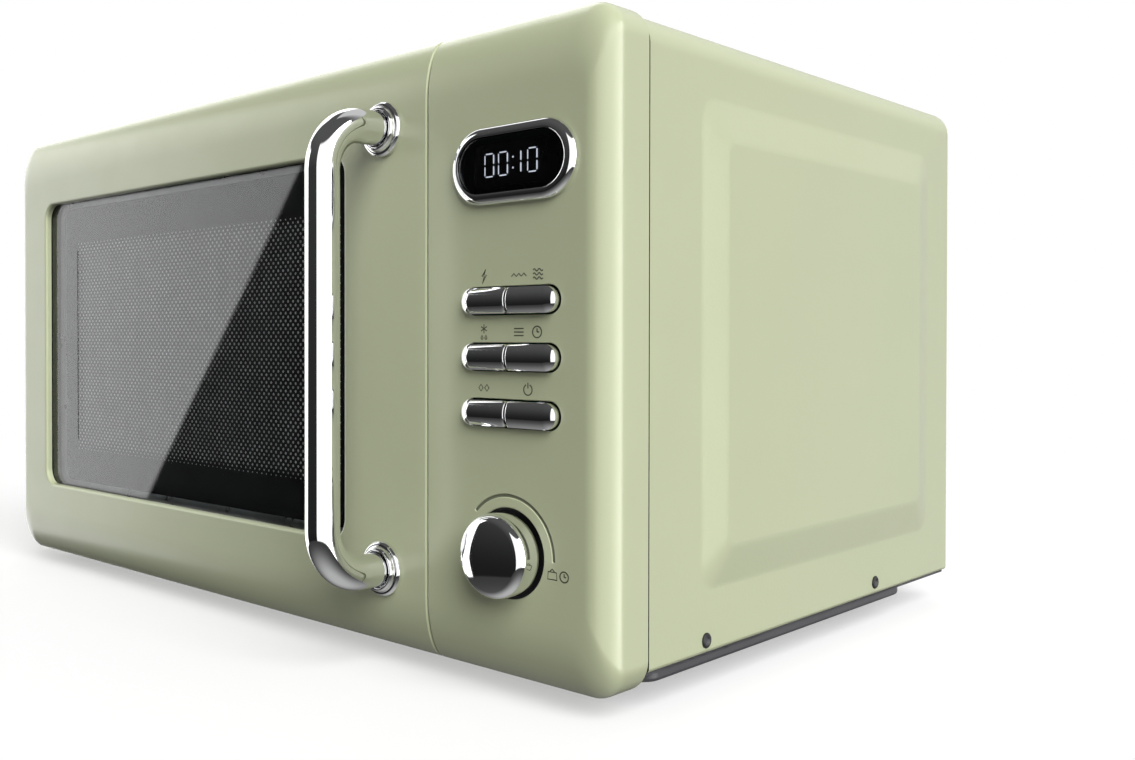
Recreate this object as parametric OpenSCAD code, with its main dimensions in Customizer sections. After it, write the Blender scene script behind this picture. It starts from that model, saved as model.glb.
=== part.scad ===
// Countertop microwave oven with a side-hinged door, a turntable and a grill.
// Frame: +X to the right as seen from the front, +Y to the back, +Z up.
// Origin: on the surface the feet stand on, at the centre of the overall width and depth.
// Everything along Y is given from the flat front face and moved into place by at_face().

/* [Overall] */
// Width over the raised side panels
overall_w = 451.1; // [447:0.1:455]
// Depth from the handle to the rear spacers
overall_d = 354.1; // [352:0.1:358]
// Height with the feet
overall_h = 258.1; // [257.5:0.1:260]

/* [Front] */
// Height of the door and control panel fronts
front_h = 250.2; // [248:0.1:250.6]
// Depth of the door and control panel
front_d = 24.8; // [24.6:0.1:25]
// How far the fronts stand out past the cabinet sides
front_proud = 0.95; // [0.5:0.05:1.2]
// Corner radius of the front outline
front_corner_r = 13; // [10:0.5:15]
// Radius of the upright front edges
edge_r = 10.4; // [8:0.1:12]
// Depth of the curve along the top and bottom edges
edge_curve_d = 11; // [9:0.5:13]
// Height of the curve along the top and bottom edges
edge_curve_h = 26; // [20:1:28]
// Position of the joint between door and control panel
seam_x = 135.1; // [134.6:0.1:135.6]
// Wall thickness of the moulded fronts
wall = 2.5; // [2.3:0.1:2.6]

/* [Window] */
// Width of the window opening
win_w = 271.8; // [270:0.1:276]
// Height of the window opening
win_h = 166.7; // [160:0.1:168]
// Centre of the window across the oven
win_x = -51.7; // [-52.5:0.1:-51]
// Centre height of the window
win_z = 133.9; // [133:0.1:134.5]
// Corner radius of the window
win_r = 9; // [6:0.5:12]

/* [Handle] */
// Radius of the handle tube
tube_r = 7.1; // [6.5:0.1:7.5]
// Distance from the front face to the tube's axis
tube_out = 33.1; // [31:0.1:35]
// Position of the handle across the oven
handle_x = 109.5; // [108:0.1:111]
// Half the distance between the two rosettes
handle_half = 91.3; // [90:0.1:93]
// Bend radius of the tube's axis
bend_r = 20; // [18:0.5:22]

/* [Controls] */
// Centre of the keys across the oven
keys_x = 179.2; // [179:0.1:179.6]
// Height of the middle row of keys
keys_z = 130.6; // [130:0.1:131]
// Distance between rows of keys
key_pitch = 21.2; // [20.5:0.1:21.5]
// Travel of a key
key_travel = 1.2; // [1:0.1:1.3]
// Centre height of the display
display_z = 202.9; // [202:0.1:204]
// Centre of the display across the oven
display_x = 180.7; // [180:0.1:181]
// Position of the knob across the oven
knob_x = 177.8; // [177:0.1:179]
// Height of the knob
knob_z = 57; // [56:0.1:58]
// Radius of the knob
knob_r = 15.8; // [14:0.1:16]

/* [Cabinet] */
// Height of the raised side panels
emboss_h = 3; // [2:0.1:3.2]
// Distance from the front face to the cabinet's rear edge
cabinet_rear = 300.4; // [300.2:0.1:301]
// Height of the cabinet's lower edge above the surface
cabinet_z = 15.6; // [15.6:0.1:15.8]
// Gap between the front's top and the cabinet's top
top_step = 1; // [0.5:0.1:1.2]
// Corner radius of the cabinet
cabinet_r = 13; // [12.5:0.1:14]
// Sheet thickness
sheet = 1; // [0.9:0.05:1]

/* [Cavity] */
// Inside width of the cooking cavity
cavity_w = 306; // [304:1:306]
// Inside depth of the cooking cavity
cavity_d = 261.7; // [260:0.1:262]
// Inside height of the cooking cavity
cavity_h = 202; // [200:1:202]
// Radius of the glass turntable
plate_r = 122.5; // [115:0.5:124]

/* [Hidden] */

$fn = 64;
gap = 0.3;

// Fronts
seam_gap = 0.8;
face_y = -overall_d / 2 + tube_out + tube_r;
front_half = overall_w / 2 - emboss_h + front_proud;
front_z = overall_h - front_h;
mid_z = front_z + front_h / 2;
plate_y = front_d + 0.5;
door_back = plate_y - 1;
hinge_r = 7.2;
hinge_x = -front_half + hinge_r;
hinge_y = door_back - hinge_r;
pin_r = 2;
arm_t = 1.6;
arm_z = [front_z + 14.6, overall_h - 12.6 - arm_t];
bush_h = 8.5;
inner_l = -208;
inner_r = 116;
inner_low = 18;
inner_high = 250;
lip_d = 3.6;
glass_y = 4;
glass_t = 3;
screen_y = 14.2;
choke_y = 22;
latch_x = 122;
latch_low = 58;
latch_high = 208;
latch_travel = 3;
hook_z = [74, 188];

// Cabinet
cab_half = overall_w / 2 - emboss_h;
cabinet_front = front_d + 1.6;
cab_top = overall_h - top_step;
fold_r = 2;
pan_z = cabinet_z - 4.4;
pan_rear = 239;
deck_t = 1;
screw_spots = [[65, 21], [214.5, 21.6]];
hump = [[118, 44], [206, 214]];
hump_d = 9;
back_y = cabinet_rear - sheet;
rear_y = overall_d / 2 - face_y;

// Cavity
cav_x = -47;
cav_l = cav_x - cavity_w / 2;
cav_r = cav_x + cavity_w / 2;
cav_floor = 34;
cav_front = plate_y + sheet;
cav_rear = cav_front + cavity_d;
cav_mid_y = cav_front + cavity_d / 2;
cav_ceiling = cav_floor + cavity_h;
vent_r = 1.6;
element_r = 3.2;
element_y = [cav_mid_y - 42, cav_mid_y + 42];
element_z = cav_ceiling - 11;

// Turntable
ring_r = 92;
roller_r = 7.2;
roller_z = cav_floor + roller_r + gap;
roller_at = ring_r + 9;
axle_r = 1.5;
glass_z = roller_z + roller_r + gap;
shaft_r = 3;

// Right-hand bay
bay_l = cav_r + sheet;
bay_mid = (bay_l + cab_half) / 2;
fan_z = 150;
fan_r = 44;
fan_y = 252;
guide_d = 84;
guide_top = cav_ceiling - 20;
guide_x = bay_l + 20;
magnetron_y = cav_mid_y + 2;
magnetron_z = 184;

// Controls
board_y = 14;
key_w = 46;
key_h = 9.8;
key_out = 4.2;
key_crown_r = 7.7;
key_split = 1;
key_gap = 0.5;
flange_y = wall + gap;
recess_r = knob_r + 1.8;
knob_out = 13;
knob_crown_r = 55;
knob_edge_r = 4;
bezel_w = 59.8;
bezel_h = 29.6;
bezel_out = 3.5;
lens_w = 51.6;
lens_h = 21.4;
lens_y = -2.9;
lens_t = 1.8;
digits_y = -0.9;

green = [0.70, 0.73, 0.56];
dark = [0.14, 0.14, 0.15];
chrome = [0.86, 0.87, 0.88];
steel = [0.66, 0.67, 0.69];
copper = [0.72, 0.42, 0.24];

// ---- helpers ----

module at_face() {
    translate([0, face_y, 0]) children();
}

// Extrudes an XZ outline from y0 to y1
module along_y(y0, y1) {
    translate([0, y1, 0]) rotate([90, 0, 0]) linear_extrude(y1 - y0) children();
}

// Extrudes a YZ outline from x0 to x1
module along_x(x0, x1) {
    translate([x0, 0, 0]) rotate([90, 0, 90]) linear_extrude(x1 - x0) children();
}

module box(low, high) {
    translate(low) cube(high - low);
}

module rounded_rect(w, h, r) {
    offset(r = r) square([w - 2 * r, h - 2 * r], center = true);
}

module pill(w, h) {
    hull() for (side = [-1, 1]) translate([side * (w - h) / 2, 0]) circle(r = h / 2);
}

// A round bar along Y
module bar_y(r, y0, y1) {
    translate([0, y1, 0]) rotate([90, 0, 0]) cylinder(r = r, h = y1 - y0);
}

// A round bar along X
module bar_x(r, x0, x1) {
    translate([x0, 0, 0]) rotate([0, 90, 0]) cylinder(r = r, h = x1 - x0);
}

// A turned part whose outline is [radius, distance in front of the face]
module turned_forward(outline) {
    rotate([90, 0, 0]) rotate_extrude() polygon(outline);
}

// ---- front outlines ----

// A quarter of the curve that rounds the front's top and bottom edges
function edge_curve(inset) = [
    for (turn = [0 : 7.5 : 90])
        [inset + edge_curve_d * (1 - cos(turn)), edge_curve_h * sin(turn) - edge_curve_h]
];

module side_profile(inset, rear) {
    top = [for (p = edge_curve(inset)) [p[0], p[1] + overall_h - inset]];
    bottom = [for (p = edge_curve(inset)) [p[0], front_z + inset - p[1]]];
    flipped = [for (i = [len(bottom) - 1 : -1 : 0]) bottom[i]];
    polygon(concat([[rear, front_z + inset]], flipped, top, [[rear, overall_h - inset]]));
}

// Plan of one end of the front: the free corner is at the left for side = -1
module plan_profile(side, inset, rear) {
    seam_edge = seam_x + side * (seam_gap / 2 + inset);
    outer = front_half - inset;
    front_r = edge_r - inset;
    rear_r = side < 0 ? hinge_r - inset : 0.5;
    hull() {
        translate([side * (outer - front_r), inset + front_r]) circle(r = front_r);
        translate([side * (outer - rear_r), rear - rear_r]) circle(r = rear_r);
        translate([seam_edge + side, inset + 1]) circle(r = 1, $fn = 24);
        translate([seam_edge + min(side, 0), rear - 1]) square(1);
    }
}

// The full front, cut to the door (side = -1) or the control panel (side = 1)
module front_solid(side, inset, rear) {
    intersection() {
        linear_extrude(overall_h + 5) plan_profile(side, inset, rear);
        along_x(-front_half - 5, front_half + 5) side_profile(inset, rear);
        along_y(-5, rear + 5) translate([0, mid_z])
            rounded_rect(2 * (front_half - inset), front_h - 2 * inset, front_corner_r - inset);
    }
}

module window_outline(margin) {
    translate([win_x, win_z]) rounded_rect(win_w + 2 * margin, win_h + 2 * margin, win_r + margin);
}

// ---- door ----

module door_shell() {
    color(green) at_face() difference() {
        union() {
            difference() {
                front_solid(-1, 0, door_back);
                front_solid(-1, wall, door_back + 20);
            }
            along_y(wall - 0.2, lip_d) difference() {
                window_outline(2);
                window_outline(0);
            }
        }
        along_y(-1, lip_d + 1) window_outline(0);
        for (z = arm_z) translate([hinge_x, hinge_y, z - 0.6])
            rotate([0, 0, 62]) rotate_extrude(angle = 156) square([hinge_r + 5, arm_t + 1.2]);
        for (side = [-1, 1]) translate([handle_x, 0, mid_z + side * handle_half]) bar_y(2.2, -1, wall + 1);
    }
}

// Black frame between the window's lip and the glass
module window_gasket() {
    color(dark) at_face() {
        along_y(lip_d, glass_y) difference() {
            window_outline(7);
            window_outline(0.3);
        }
        along_y(glass_y + glass_t, screen_y - 1.8) difference() {
            window_outline(7);
            window_outline(4);
        }
    }
}

module window_glass() {
    color([0.10, 0.11, 0.11, 0.6]) at_face() along_y(glass_y, glass_y + glass_t) window_outline(7);
}

module mesh_screen() {
    color(dark) at_face() along_y(screen_y, screen_y + 0.6) window_outline(-0.5);
}

module inner_outline(margin) {
    translate([(inner_l + inner_r) / 2, (inner_low + inner_high) / 2])
        rounded_rect(inner_r - inner_l + 2 * margin, inner_high - inner_low + 2 * margin, 10 + margin);
}

module inner_door_frame() {
    color(steel) at_face() {
        along_y(13, 14.2) difference() {
            inner_outline(0);
            window_outline(-2);
        }
        along_y(14.1, choke_y) difference() {
            inner_outline(0);
            inner_outline(-1.2);
        }
        along_y(14.1, choke_y) difference() {
            window_outline(1.2);
            window_outline(0);
        }
    }
}

// Plate that closes the back of the door around the window
module choke_cover() {
    color(dark) at_face() difference() {
        intersection() {
            front_solid(-1, wall + 0.4, door_back);
            box([-front_half, choke_y, 0], [seam_x, door_back, overall_h]);
        }
        along_y(choke_y - 1, door_back + 1) window_outline(-4);
        for (z = arm_z) translate([hinge_x, hinge_y, z - 0.6]) cylinder(r = hinge_r + 4, h = arm_t + 1.2);
        for (z = hook_z) box([latch_x - 3.5, 20, z - 7], [latch_x + 3.5, 40, z + 10 + latch_travel]);
    }
}

module inner_film() {
    color([0.8, 0.82, 0.82, 0.3]) at_face() along_y(20.5, 21.5) window_outline(-0.2);
}

// Upright tube with a quarter bend towards the door at each end
module handle_tube() {
    straight = 2 * (handle_half - bend_r);
    color(chrome) at_face() translate([handle_x, -tube_out, mid_z]) {
        translate([0, 0, -straight / 2]) cylinder(r = tube_r, h = straight);
        for (side = [-1, 1]) mirror([0, 0, side < 0 ? 1 : 0]) {
            translate([0, bend_r, straight / 2]) rotate([90, 0, 90]) rotate([0, 0, 90])
                rotate_extrude(angle = 90) translate([bend_r, 0]) circle(r = tube_r);
            translate([0, 0, handle_half]) bar_y(tube_r, bend_r, tube_out - 4.5);
        }
    }
}

module handle_rosettes() {
    color(chrome) at_face() for (side = [-1, 1]) translate([handle_x, 0, mid_z + side * handle_half])
        turned_forward([[2.2, 0], [11.4, 0], [11.4, 1.6], [10.6, 2.4], [9.8, 2.4], [9.4, 4],
            [8.6, 4.5], [2.2, 4.5]]);
}

module handle_screws() {
    color(steel) at_face() for (side = [-1, 1]) translate([handle_x, 0, mid_z + side * handle_half]) {
        bar_y(2, -4.4, wall);
        bar_y(4, wall, wall + 2.4);
    }
}

module hinge_bushes() {
    color([0.9, 0.9, 0.88]) at_face() for (top = [0, 1]) {
        low = top == 1 ? arm_z[1] - 0.6 - bush_h : arm_z[0] + arm_t + 0.6;
        difference() {
            box([-front_half + wall + 0.3, hinge_y - 4.6, low], [inner_l, hinge_y + 4.4, low + bush_h]);
            translate([hinge_x, hinge_y, low - 1]) cylinder(r = pin_r + 0.05, h = bush_h + 2);
        }
    }
}

module latch_hooks() {
    color([0.88, 0.88, 0.86]) at_face() {
        box([latch_x - 3, 14, latch_low], [latch_x + 3, 19, latch_high]);
        for (z = hook_z) {
            box([latch_x - 2, 18.9, z], [latch_x + 2, 40, z + 7]);
            along_x(latch_x - 2, latch_x + 2)
                polygon([[33, z + 0.1], [40, z + 0.1], [38, z - 4], [34.5, z - 4]]);
        }
    }
}

module latch_guides() {
    color([0.2, 0.2, 0.2]) at_face() for (z = [latch_low + 34, latch_high - 46]) difference() {
        box([latch_x - 5.5, wall, z], [latch_x + 9, choke_y - 0.1, z + 12]);
        box([latch_x - 3 - gap, 14 - gap, z - 1], [latch_x + 3 + gap, 19 + gap, z + 13]);
    }
}

module latch_spring() {
    color(steel) at_face() translate([latch_x, 16.5, latch_high]) difference() {
        cylinder(r = 3, h = 20);
        translate([0, 0, -1]) cylinder(r = 2.2, h = 22);
    }
}

// ---- cabinet and chassis ----

// Round upper corners and tightly folded lower ones
module cabinet_outline(inset) {
    hull() for (side = [-1, 1]) {
        translate([side * (cab_half - cabinet_r), cab_top - cabinet_r]) circle(r = cabinet_r - inset);
        translate([side * (cab_half - fold_r), cabinet_z + fold_r]) circle(r = fold_r - inset, $fn = 32);
    }
}

// Raised panel pressed out of one side, drawn over the sheet's inner face
module side_emboss(inset) {
    low = cabinet_z + 24;
    high = cab_top - 26;
    bevel = 17.5;
    y0 = 60;
    y1 = 275;
    skin = 0.4;
    hull() {
        translate([cab_half - inset - skin, (y0 + y1) / 2, (low + high) / 2]) rotate([90, 0, 90])
            linear_extrude(skin) rounded_rect(y1 - y0 - 2 * inset, high - low - 2 * inset, 8, $fn = 32);
        translate([cab_half + emboss_h - inset - skin, (y0 + y1) / 2, (low + high) / 2]) rotate([90, 0, 90])
            linear_extrude(skin) rounded_rect(y1 - y0 - 2 * bevel, high - low - 2 * bevel, 6, $fn = 32);
    }
}

module outer_cabinet() {
    color(green) at_face() difference() {
        union() {
            along_y(cabinet_front, cabinet_rear) cabinet_outline(0);
            for (side = [0, 1]) mirror([side, 0, 0]) side_emboss(0);
        }
        difference() {
            union() {
                along_y(0, cabinet_rear + 10) cabinet_outline(sheet);
                for (side = [0, 1]) mirror([side, 0, 0]) side_emboss(sheet);
            }
            for (side = [0, 1]) mirror([side, 0, 0])
                box([205, 0, cabinet_z - 1], [cab_half - sheet / 2, cabinet_rear + 20, cabinet_z + sheet]);
        }
        box([-205, 0, cabinet_z - 5], [205, cabinet_rear + 20, cabinet_z + 5]);
        for (spot = screw_spots) translate([0, spot[0], spot[1]]) bar_x(1.9, -cab_half - 5, cab_half + 5);
    }
}

module cabinet_screws() {
    color(dark) at_face() for (side = [0, 1]) mirror([side, 0, 0]) for (spot = screw_spots)
        translate([0, spot[0], spot[1]]) {
            bar_x(1.75, cab_half - 8, cab_half + 0.01);
            bar_x(3, cab_half, cab_half + 0.9);
        }
}

// Dark tray under the oven, with a raised deck behind it
module base_plate() {
    half = cab_half - 6.5;
    color(dark) at_face() difference() {
        union() {
            box([-half, front_d + 2, pan_z], [half, pan_rear, cabinet_z]);
            box([-cab_half + 1.5, cav_front + 0.5, cabinet_z - deck_t],
                [cab_half - 1.5, back_y - 0.2, cabinet_z]);
        }
        box([-half + 1, front_d + 3, pan_z + 1], [half - 1, pan_rear - 1, cabinet_z + 1]);
        for (i = [0 : 7]) base_slot(bay_mid - 28 + 8 * i, 190, 26);
    }
}

// A ventilation slot through the base
module base_slot(x, y, length) {
    translate([x, y, pan_z - 1]) linear_extrude(3) rotate(90) pill(length, 3);
}

module feet() {
    color([0.10, 0.10, 0.10]) at_face() for (x = [-182, 182], y = [62, 222]) translate([x, y, 0])
        rotate_extrude() polygon([[0, 0], [10, 0], [11, 1], [12.5, pan_z], [0, pan_z]]);
}

module back_panel() {
    color([0.62, 0.64, 0.62]) at_face() difference() {
        union() {
            along_y(back_y, cabinet_rear) intersection() {
                cabinet_outline(sheet + 0.15);
                translate([-300, cabinet_z + sheet + 0.1]) square([600, 300]);
            }
            box([hump[0][0], back_y, hump[0][1]], [hump[1][0], cabinet_rear + hump_d, hump[1][1]]);
        }
        box([hump[0][0] + 1, back_y - 1, hump[0][1] + 1],
            [hump[1][0] - 1, cabinet_rear + hump_d - 1, hump[1][1] - 1]);
        for (row = [0 : 8], side = [-1, 1]) along_y(back_y - 1, cabinet_rear + hump_d + 1)
            translate([bay_mid + side * 20, fan_z - 36 + 9 * row]) pill(32, 3.4);
        for (row = [0 : 5]) along_y(back_y - 1, cabinet_rear + 1)
            translate([-150, 60 + 8 * row]) pill(60, 3.4);
        translate([70, 0, 60]) bar_y(9, back_y - 1, cabinet_rear + 1);
    }
}

// Plastic stand-offs that keep the back clear of a wall
module rear_spacers() {
    color(dark) at_face() for (x = [-150, 60]) translate([x, 0, 205])
        along_y(cabinet_rear, rear_y) difference() {
            rounded_rect(34, 20, 5);
            rounded_rect(26, 12, 3);
        }
}

// Strain relief bush of the mains lead
module cord_gland() {
    color(dark) at_face() translate([70, 0, 60]) mirror([0, 1, 0])
        turned_forward([[3.8, back_y - 5], [8.9, back_y - 5], [8.9, cabinet_rear], [11, cabinet_rear],
            [11, cabinet_rear + 3], [6.5, cabinet_rear + 12], [3.8, cabinet_rear + 12]]);
}

module vent_grid(x) {
    for (row = [0 : 3], column = [0 : 5])
        translate([0, cav_front + 30 + 7 * column, cav_floor + 130 + 7 * row]) bar_x(vent_r, x - 3, x + 3);
}

module oven_cavity() {
    plate_half = cab_half - sheet - 0.15;
    color([0.80, 0.80, 0.78]) at_face() difference() {
        union() {
            along_y(plate_y, cav_front) intersection() {
                cabinet_outline(sheet + 0.15);
                translate([-plate_half, cabinet_z + sheet + 0.2]) square([plate_half + seam_x - 1, 300]);
            }
            box([cav_l - sheet, cav_front - 0.1, cav_floor - sheet],
                [cav_r + sheet, cav_rear + sheet, cav_ceiling + sheet]);
        }
        box([cav_l, plate_y - 1, cav_floor], [cav_r, cav_rear, cav_ceiling]);
        translate([cav_x, cav_mid_y, cav_floor - 2]) cylinder(r = shaft_r + 3, h = 4);
        for (x = [cav_l - sheet / 2, cav_r + sheet / 2]) vent_grid(x);
        box([cav_r - 1, cav_mid_y - 42, cav_floor + 62], [cav_r + 3, cav_mid_y + 42, cav_floor + 118]);
        for (y = element_y) translate([0, y, element_z]) bar_x(element_r + 0.6, cav_r - 1, cav_r + 3);
        for (z = hook_z) box([latch_x - 3.5, 20, z - 7], [latch_x + 3.5, 40, z + 10 + latch_travel]);
        for (z = arm_z) box([hinge_x - 4, 20, z - 0.4], [hinge_x + 4, 40, z + arm_t + 0.4]);
        translate([cav_l + 60, cav_rear - 1, cav_ceiling - 40]) mirror([0, 1, 0]) bar_y(12, -3, 3);
    }
}

// Bracket behind the front plate with an arm and a pin for the door
module hinge_bracket(top) {
    z = arm_z[top];
    pin_low = top == 1 ? z - 8 : z + arm_t - 0.1;
    plate_low = top == 1 ? z - 14 : z;
    plate_high = top == 1 ? z + arm_t : z + 14;
    color(steel) at_face() {
        box([hinge_x - 3, hinge_y, z], [hinge_x + 3, cav_front + 1.2, z + arm_t]);
        translate([hinge_x, hinge_y, z]) cylinder(r = 3, h = arm_t);
        translate([hinge_x, hinge_y, pin_low]) cylinder(r = pin_r, h = 8.1);
        box([hinge_x - 1, cav_front, plate_low], [hinge_x + 12, cav_front + 1.2, plate_high]);
    }
}

module hinge_upper() {
    hinge_bracket(1);
}

module hinge_lower() {
    hinge_bracket(0);
}

module waveguide() {
    color(steel) at_face() difference() {
        box([bay_l, cav_mid_y - guide_d / 2, cav_floor + 56],
            [guide_x, cav_mid_y + guide_d / 2, guide_top]);
        box([bay_l - 1, cav_mid_y - guide_d / 2 + 1, cav_floor + 57],
            [guide_x - 1, cav_mid_y + guide_d / 2 - 1, guide_top - 1]);
        translate([0, magnetron_y, magnetron_z]) bar_x(11, guide_x - 3, guide_x + 3);
    }
}

module waveguide_cover() {
    color([0.78, 0.74, 0.62]) at_face()
        box([cav_r - 0.8, cav_mid_y - 48, cav_floor + 56], [cav_r - 0.1, cav_mid_y + 48, cav_floor + 124]);
}

// Tubular element under the ceiling, both ends through the right-hand wall
module grill_element() {
    turn_x = cav_l + 60;
    turn_r = (element_y[1] - element_y[0]) / 2;
    color([0.35, 0.34, 0.33]) at_face() translate([0, 0, element_z]) {
        for (y = element_y) translate([0, y, 0]) bar_x(element_r, turn_x, cav_r + 12);
        translate([turn_x, cav_mid_y, 0]) rotate([0, 0, 90]) rotate_extrude(angle = 180)
            translate([turn_r, 0]) circle(r = element_r);
    }
}

module magnetron() {
    half = 32;
    color(steel) at_face() translate([guide_x + 0.1, magnetron_y, magnetron_z]) {
        bar_x(9, -17, 0.1);
        difference() {
            box([0, -half - 6, -half], [60, half + 6, half]);
            box([1.5, -half - 4.5, -half - 1], [58.5, half + 4.5, half + 1]);
        }
        bar_x(17, 1.4, 58.6);
        for (i = [0 : 7])
            box([18 + 3.2 * i, -half - 4.6, -half + 4], [18.8 + 3.2 * i, half + 4.6, half - 4]);
        for (x = [3, 44.5]) bar_x(27, x, x + 12);
    }
}

module hv_transformer() {
    color([0.30, 0.29, 0.28]) at_face() {
        box([bay_mid - 30, 62, pan_z + 1.2], [bay_mid + 40, 132, pan_z + 70]);
    }
    color(copper) at_face() for (y = [47, 132]) hull()
        for (x = [bay_mid - 16, bay_mid + 26], z = [pan_z + 24, pan_z + 47])
            translate([x, y, z]) bar_y(9, 0, 15, $fn = 32);
}

module hv_capacitor() {
    color([0.72, 0.73, 0.74]) at_face() {
        translate([bay_mid - 8, 0, pan_z + 19]) along_y(190, 236) pill(62, 36);
        for (x = [bay_mid - 22, bay_mid + 6]) translate([x, 0, pan_z + 19]) bar_y(4, 181, 190.1);
    }
}

module hv_diode() {
    color(dark) at_face() {
        translate([bay_mid + 34, 167, 0]) {
            box([-4, -9, cabinet_z + 34], [4, 9, cabinet_z + 41]);
            translate([0, 0, cabinet_z + 20]) cylinder(r = 1.2, h = 14.1);
            translate([0, 0, pan_z + 1.1]) cylinder(r = 4, h = cabinet_z + 20 - pan_z - 1.1);
        }
    }
}

module fan_motor() {
    color(steel) at_face() translate([bay_mid, 0, fan_z]) difference() {
        union() {
            along_y(fan_y + 24, fan_y + 38) square([44, 50], center = true);
            bar_y(13, fan_y + 18, fan_y + 44);
        }
        bar_y(2.05, fan_y + 10, fan_y + 50);
    }
}

// Housing of the cooling fan, with a strut that carries the motor
module fan_duct() {
    half = 50;
    color([0.82, 0.82, 0.80]) at_face() translate([bay_mid, 0, fan_z]) {
        along_y(fan_y - 6, fan_y + 18) difference() {
            square(2 * half, center = true);
            circle(r = fan_r + 2);
        }
        for (x = [-half + 4, half - 12]) along_y(fan_y + 17.9, back_y - 0.2)
            translate([x, -half]) square([8, 10]);
        for (side = [-1, 1]) along_y(fan_y + 19, fan_y + 23.8)
            translate([side * 34 - 16, -4]) square([32, 8]);
        for (x = [-half, half - 6]) along_y(fan_y + 17.9, fan_y + 23.8) translate([x, -4]) square([6, 8]);
    }
}

module fan_blades() {
    blades = 7;
    color([0.85, 0.85, 0.82]) at_face() translate([bay_mid, 0, fan_z]) {
        bar_y(9, fan_y, fan_y + 12);
        bar_y(2, fan_y + 11.9, fan_y + 42);
        intersection() {
            for (i = [0 : blades - 1]) rotate([0, i * 360 / blades, 0]) translate([0, fan_y + 6, 0])
                rotate([0, 0, 32]) box([-10, -0.8, 6], [10, 0.8, fan_r + 4]);
            bar_y(fan_r, fan_y - 5, fan_y + 16);
        }
    }
}

module lamp_socket() {
    color([0.9, 0.9, 0.88]) at_face() translate([0, cav_front + 48, cav_floor + 141]) {
        difference() {
            bar_x(8, bay_l + 24, bay_l + 40);
            bar_x(6, bay_l + 23, bay_l + 32);
        }
        box([bay_l + 33, -4, 6.5], [bay_l + 40, 4, 9.3]);
        box([bay_l, -7, 9.2], [bay_l + 40, 7, 10.4]);
    }
}

module lamp_bulb() {
    bulb_r = 8.5;
    neck_r = 5.8;
    neck_turn = 180 - asin(neck_r / bulb_r);
    bulb_arc = [
        for (i = [0 : 12])
            let(turn = neck_turn * i / 12)
                [bulb_r * sin(turn), -bulb_r * cos(turn)]
    ];
    color([0.95, 0.93, 0.85, 0.6]) at_face() translate([bay_l + 12, cav_front + 48, cav_floor + 141])
        rotate([0, 90, 0]) rotate_extrude() polygon(concat(bulb_arc, [[neck_r, 19.9], [0, 19.9]]));
}

module turntable_motor() {
    top = cav_floor - sheet - 0.2;
    color(steel) at_face() translate([cav_x, cav_mid_y, 0]) difference() {
        union() {
            translate([0, 0, pan_z + 2]) cylinder(r = 25, h = top - 3 - pan_z - 2);
            translate([0, 0, pan_z + 4]) cylinder(r = 6, h = top - pan_z - 4);
        }
        translate([0, 0, pan_z]) cylinder(r = shaft_r + 0.05, h = 40);
    }
}

module interlock_bracket() {
    color([0.86, 0.86, 0.82]) at_face() difference() {
        box([latch_x - 9, cav_front + 0.1, 56], [latch_x + 9, 50, 212]);
        for (z = hook_z) box([latch_x - 4, 20, z - 8], [latch_x + 4, 46, z + 11 + latch_travel]);
        box([latch_x - 6, 30, 92], [latch_x + 20, 60, 178]);
    }
}

module door_switches() {
    color(dark) at_face() for (z = [96, 118, 152])
        box([latch_x - 5, 31, z], [latch_x + 5, 47, z + 18]);
}

// ---- controls ----

function row_z(row) = keys_z + (1 - row) * key_pitch;

module control_panel() {
    color(green) at_face() difference() {
        front_solid(1, 0, front_d);
        front_solid(1, wall, front_d + 20);
        for (row = [0 : 2]) along_y(-1, wall + 1) translate([keys_x, row_z(row)])
            pill(key_w + 2 * key_gap, key_h + 2 * key_gap);
        along_y(-1, wall + 1) translate([display_x, display_z]) pill(bezel_w - 4, bezel_h - 4);
        translate([knob_x, 0, knob_z]) bar_y(recess_r, -1, wall + 1);
    }
}

module display_bezel() {
    color(chrome) at_face() translate([display_x, 0, display_z]) difference() {
        union() {
            along_y(-bezel_out, 0) pill(bezel_w, bezel_h);
            along_y(-0.1, 3) pill(bezel_w - 4.4, bezel_h - 4.4);
        }
        along_y(-bezel_out - 1, 4) pill(lens_w, lens_h);
    }
}

module display_lens() {
    color([0.05, 0.05, 0.06, 0.5]) at_face() along_y(lens_y, lens_y + lens_t)
        translate([display_x, display_z]) pill(lens_w - 0.1, lens_h - 0.1);
}

// Segments lit in one digit: top, two upper, middle, two lower, bottom
module digit(lit) {
    seg = 4.3;
    t = 0.5;
    for (i = [0 : 2]) if (lit[i]) translate([0, (i - 1) * seg]) square([seg - 0.9, t], center = true);
    for (i = [0 : 3]) if (lit[i + 3])
        translate([(i % 2 == 0 ? -1 : 1) * (seg - 0.1) / 2, (i < 2 ? -1 : 1) * seg / 2])
            square([t, seg - 0.9], center = true);
}

ZERO = [true, false, true, true, true, true, true];
ONE = [false, false, false, false, true, false, true];

// Display block with the lit segments of a clock on its face
module display_module() {
    digits = [ZERO, ZERO, ONE, ZERO];
    digit_at = [-10.9, -4.1, 2.4, 10];
    color([0.03, 0.03, 0.03]) at_face() translate([display_x, 0, display_z]) {
        box([-18, digits_y + 0.4, -8], [18, 4, 8]);
        box([-23, 3.9, -9.5], [23, board_y, 9.5]);
    }
    color("white") at_face() along_y(digits_y, digits_y + 0.5) translate([display_x, display_z]) {
        for (i = [0 : 3]) translate([digit_at[i], 0]) digit(digits[i]);
        for (z = [-2, 2]) translate([0.8, z]) square(0.9, center = true);
    }
}

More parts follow.
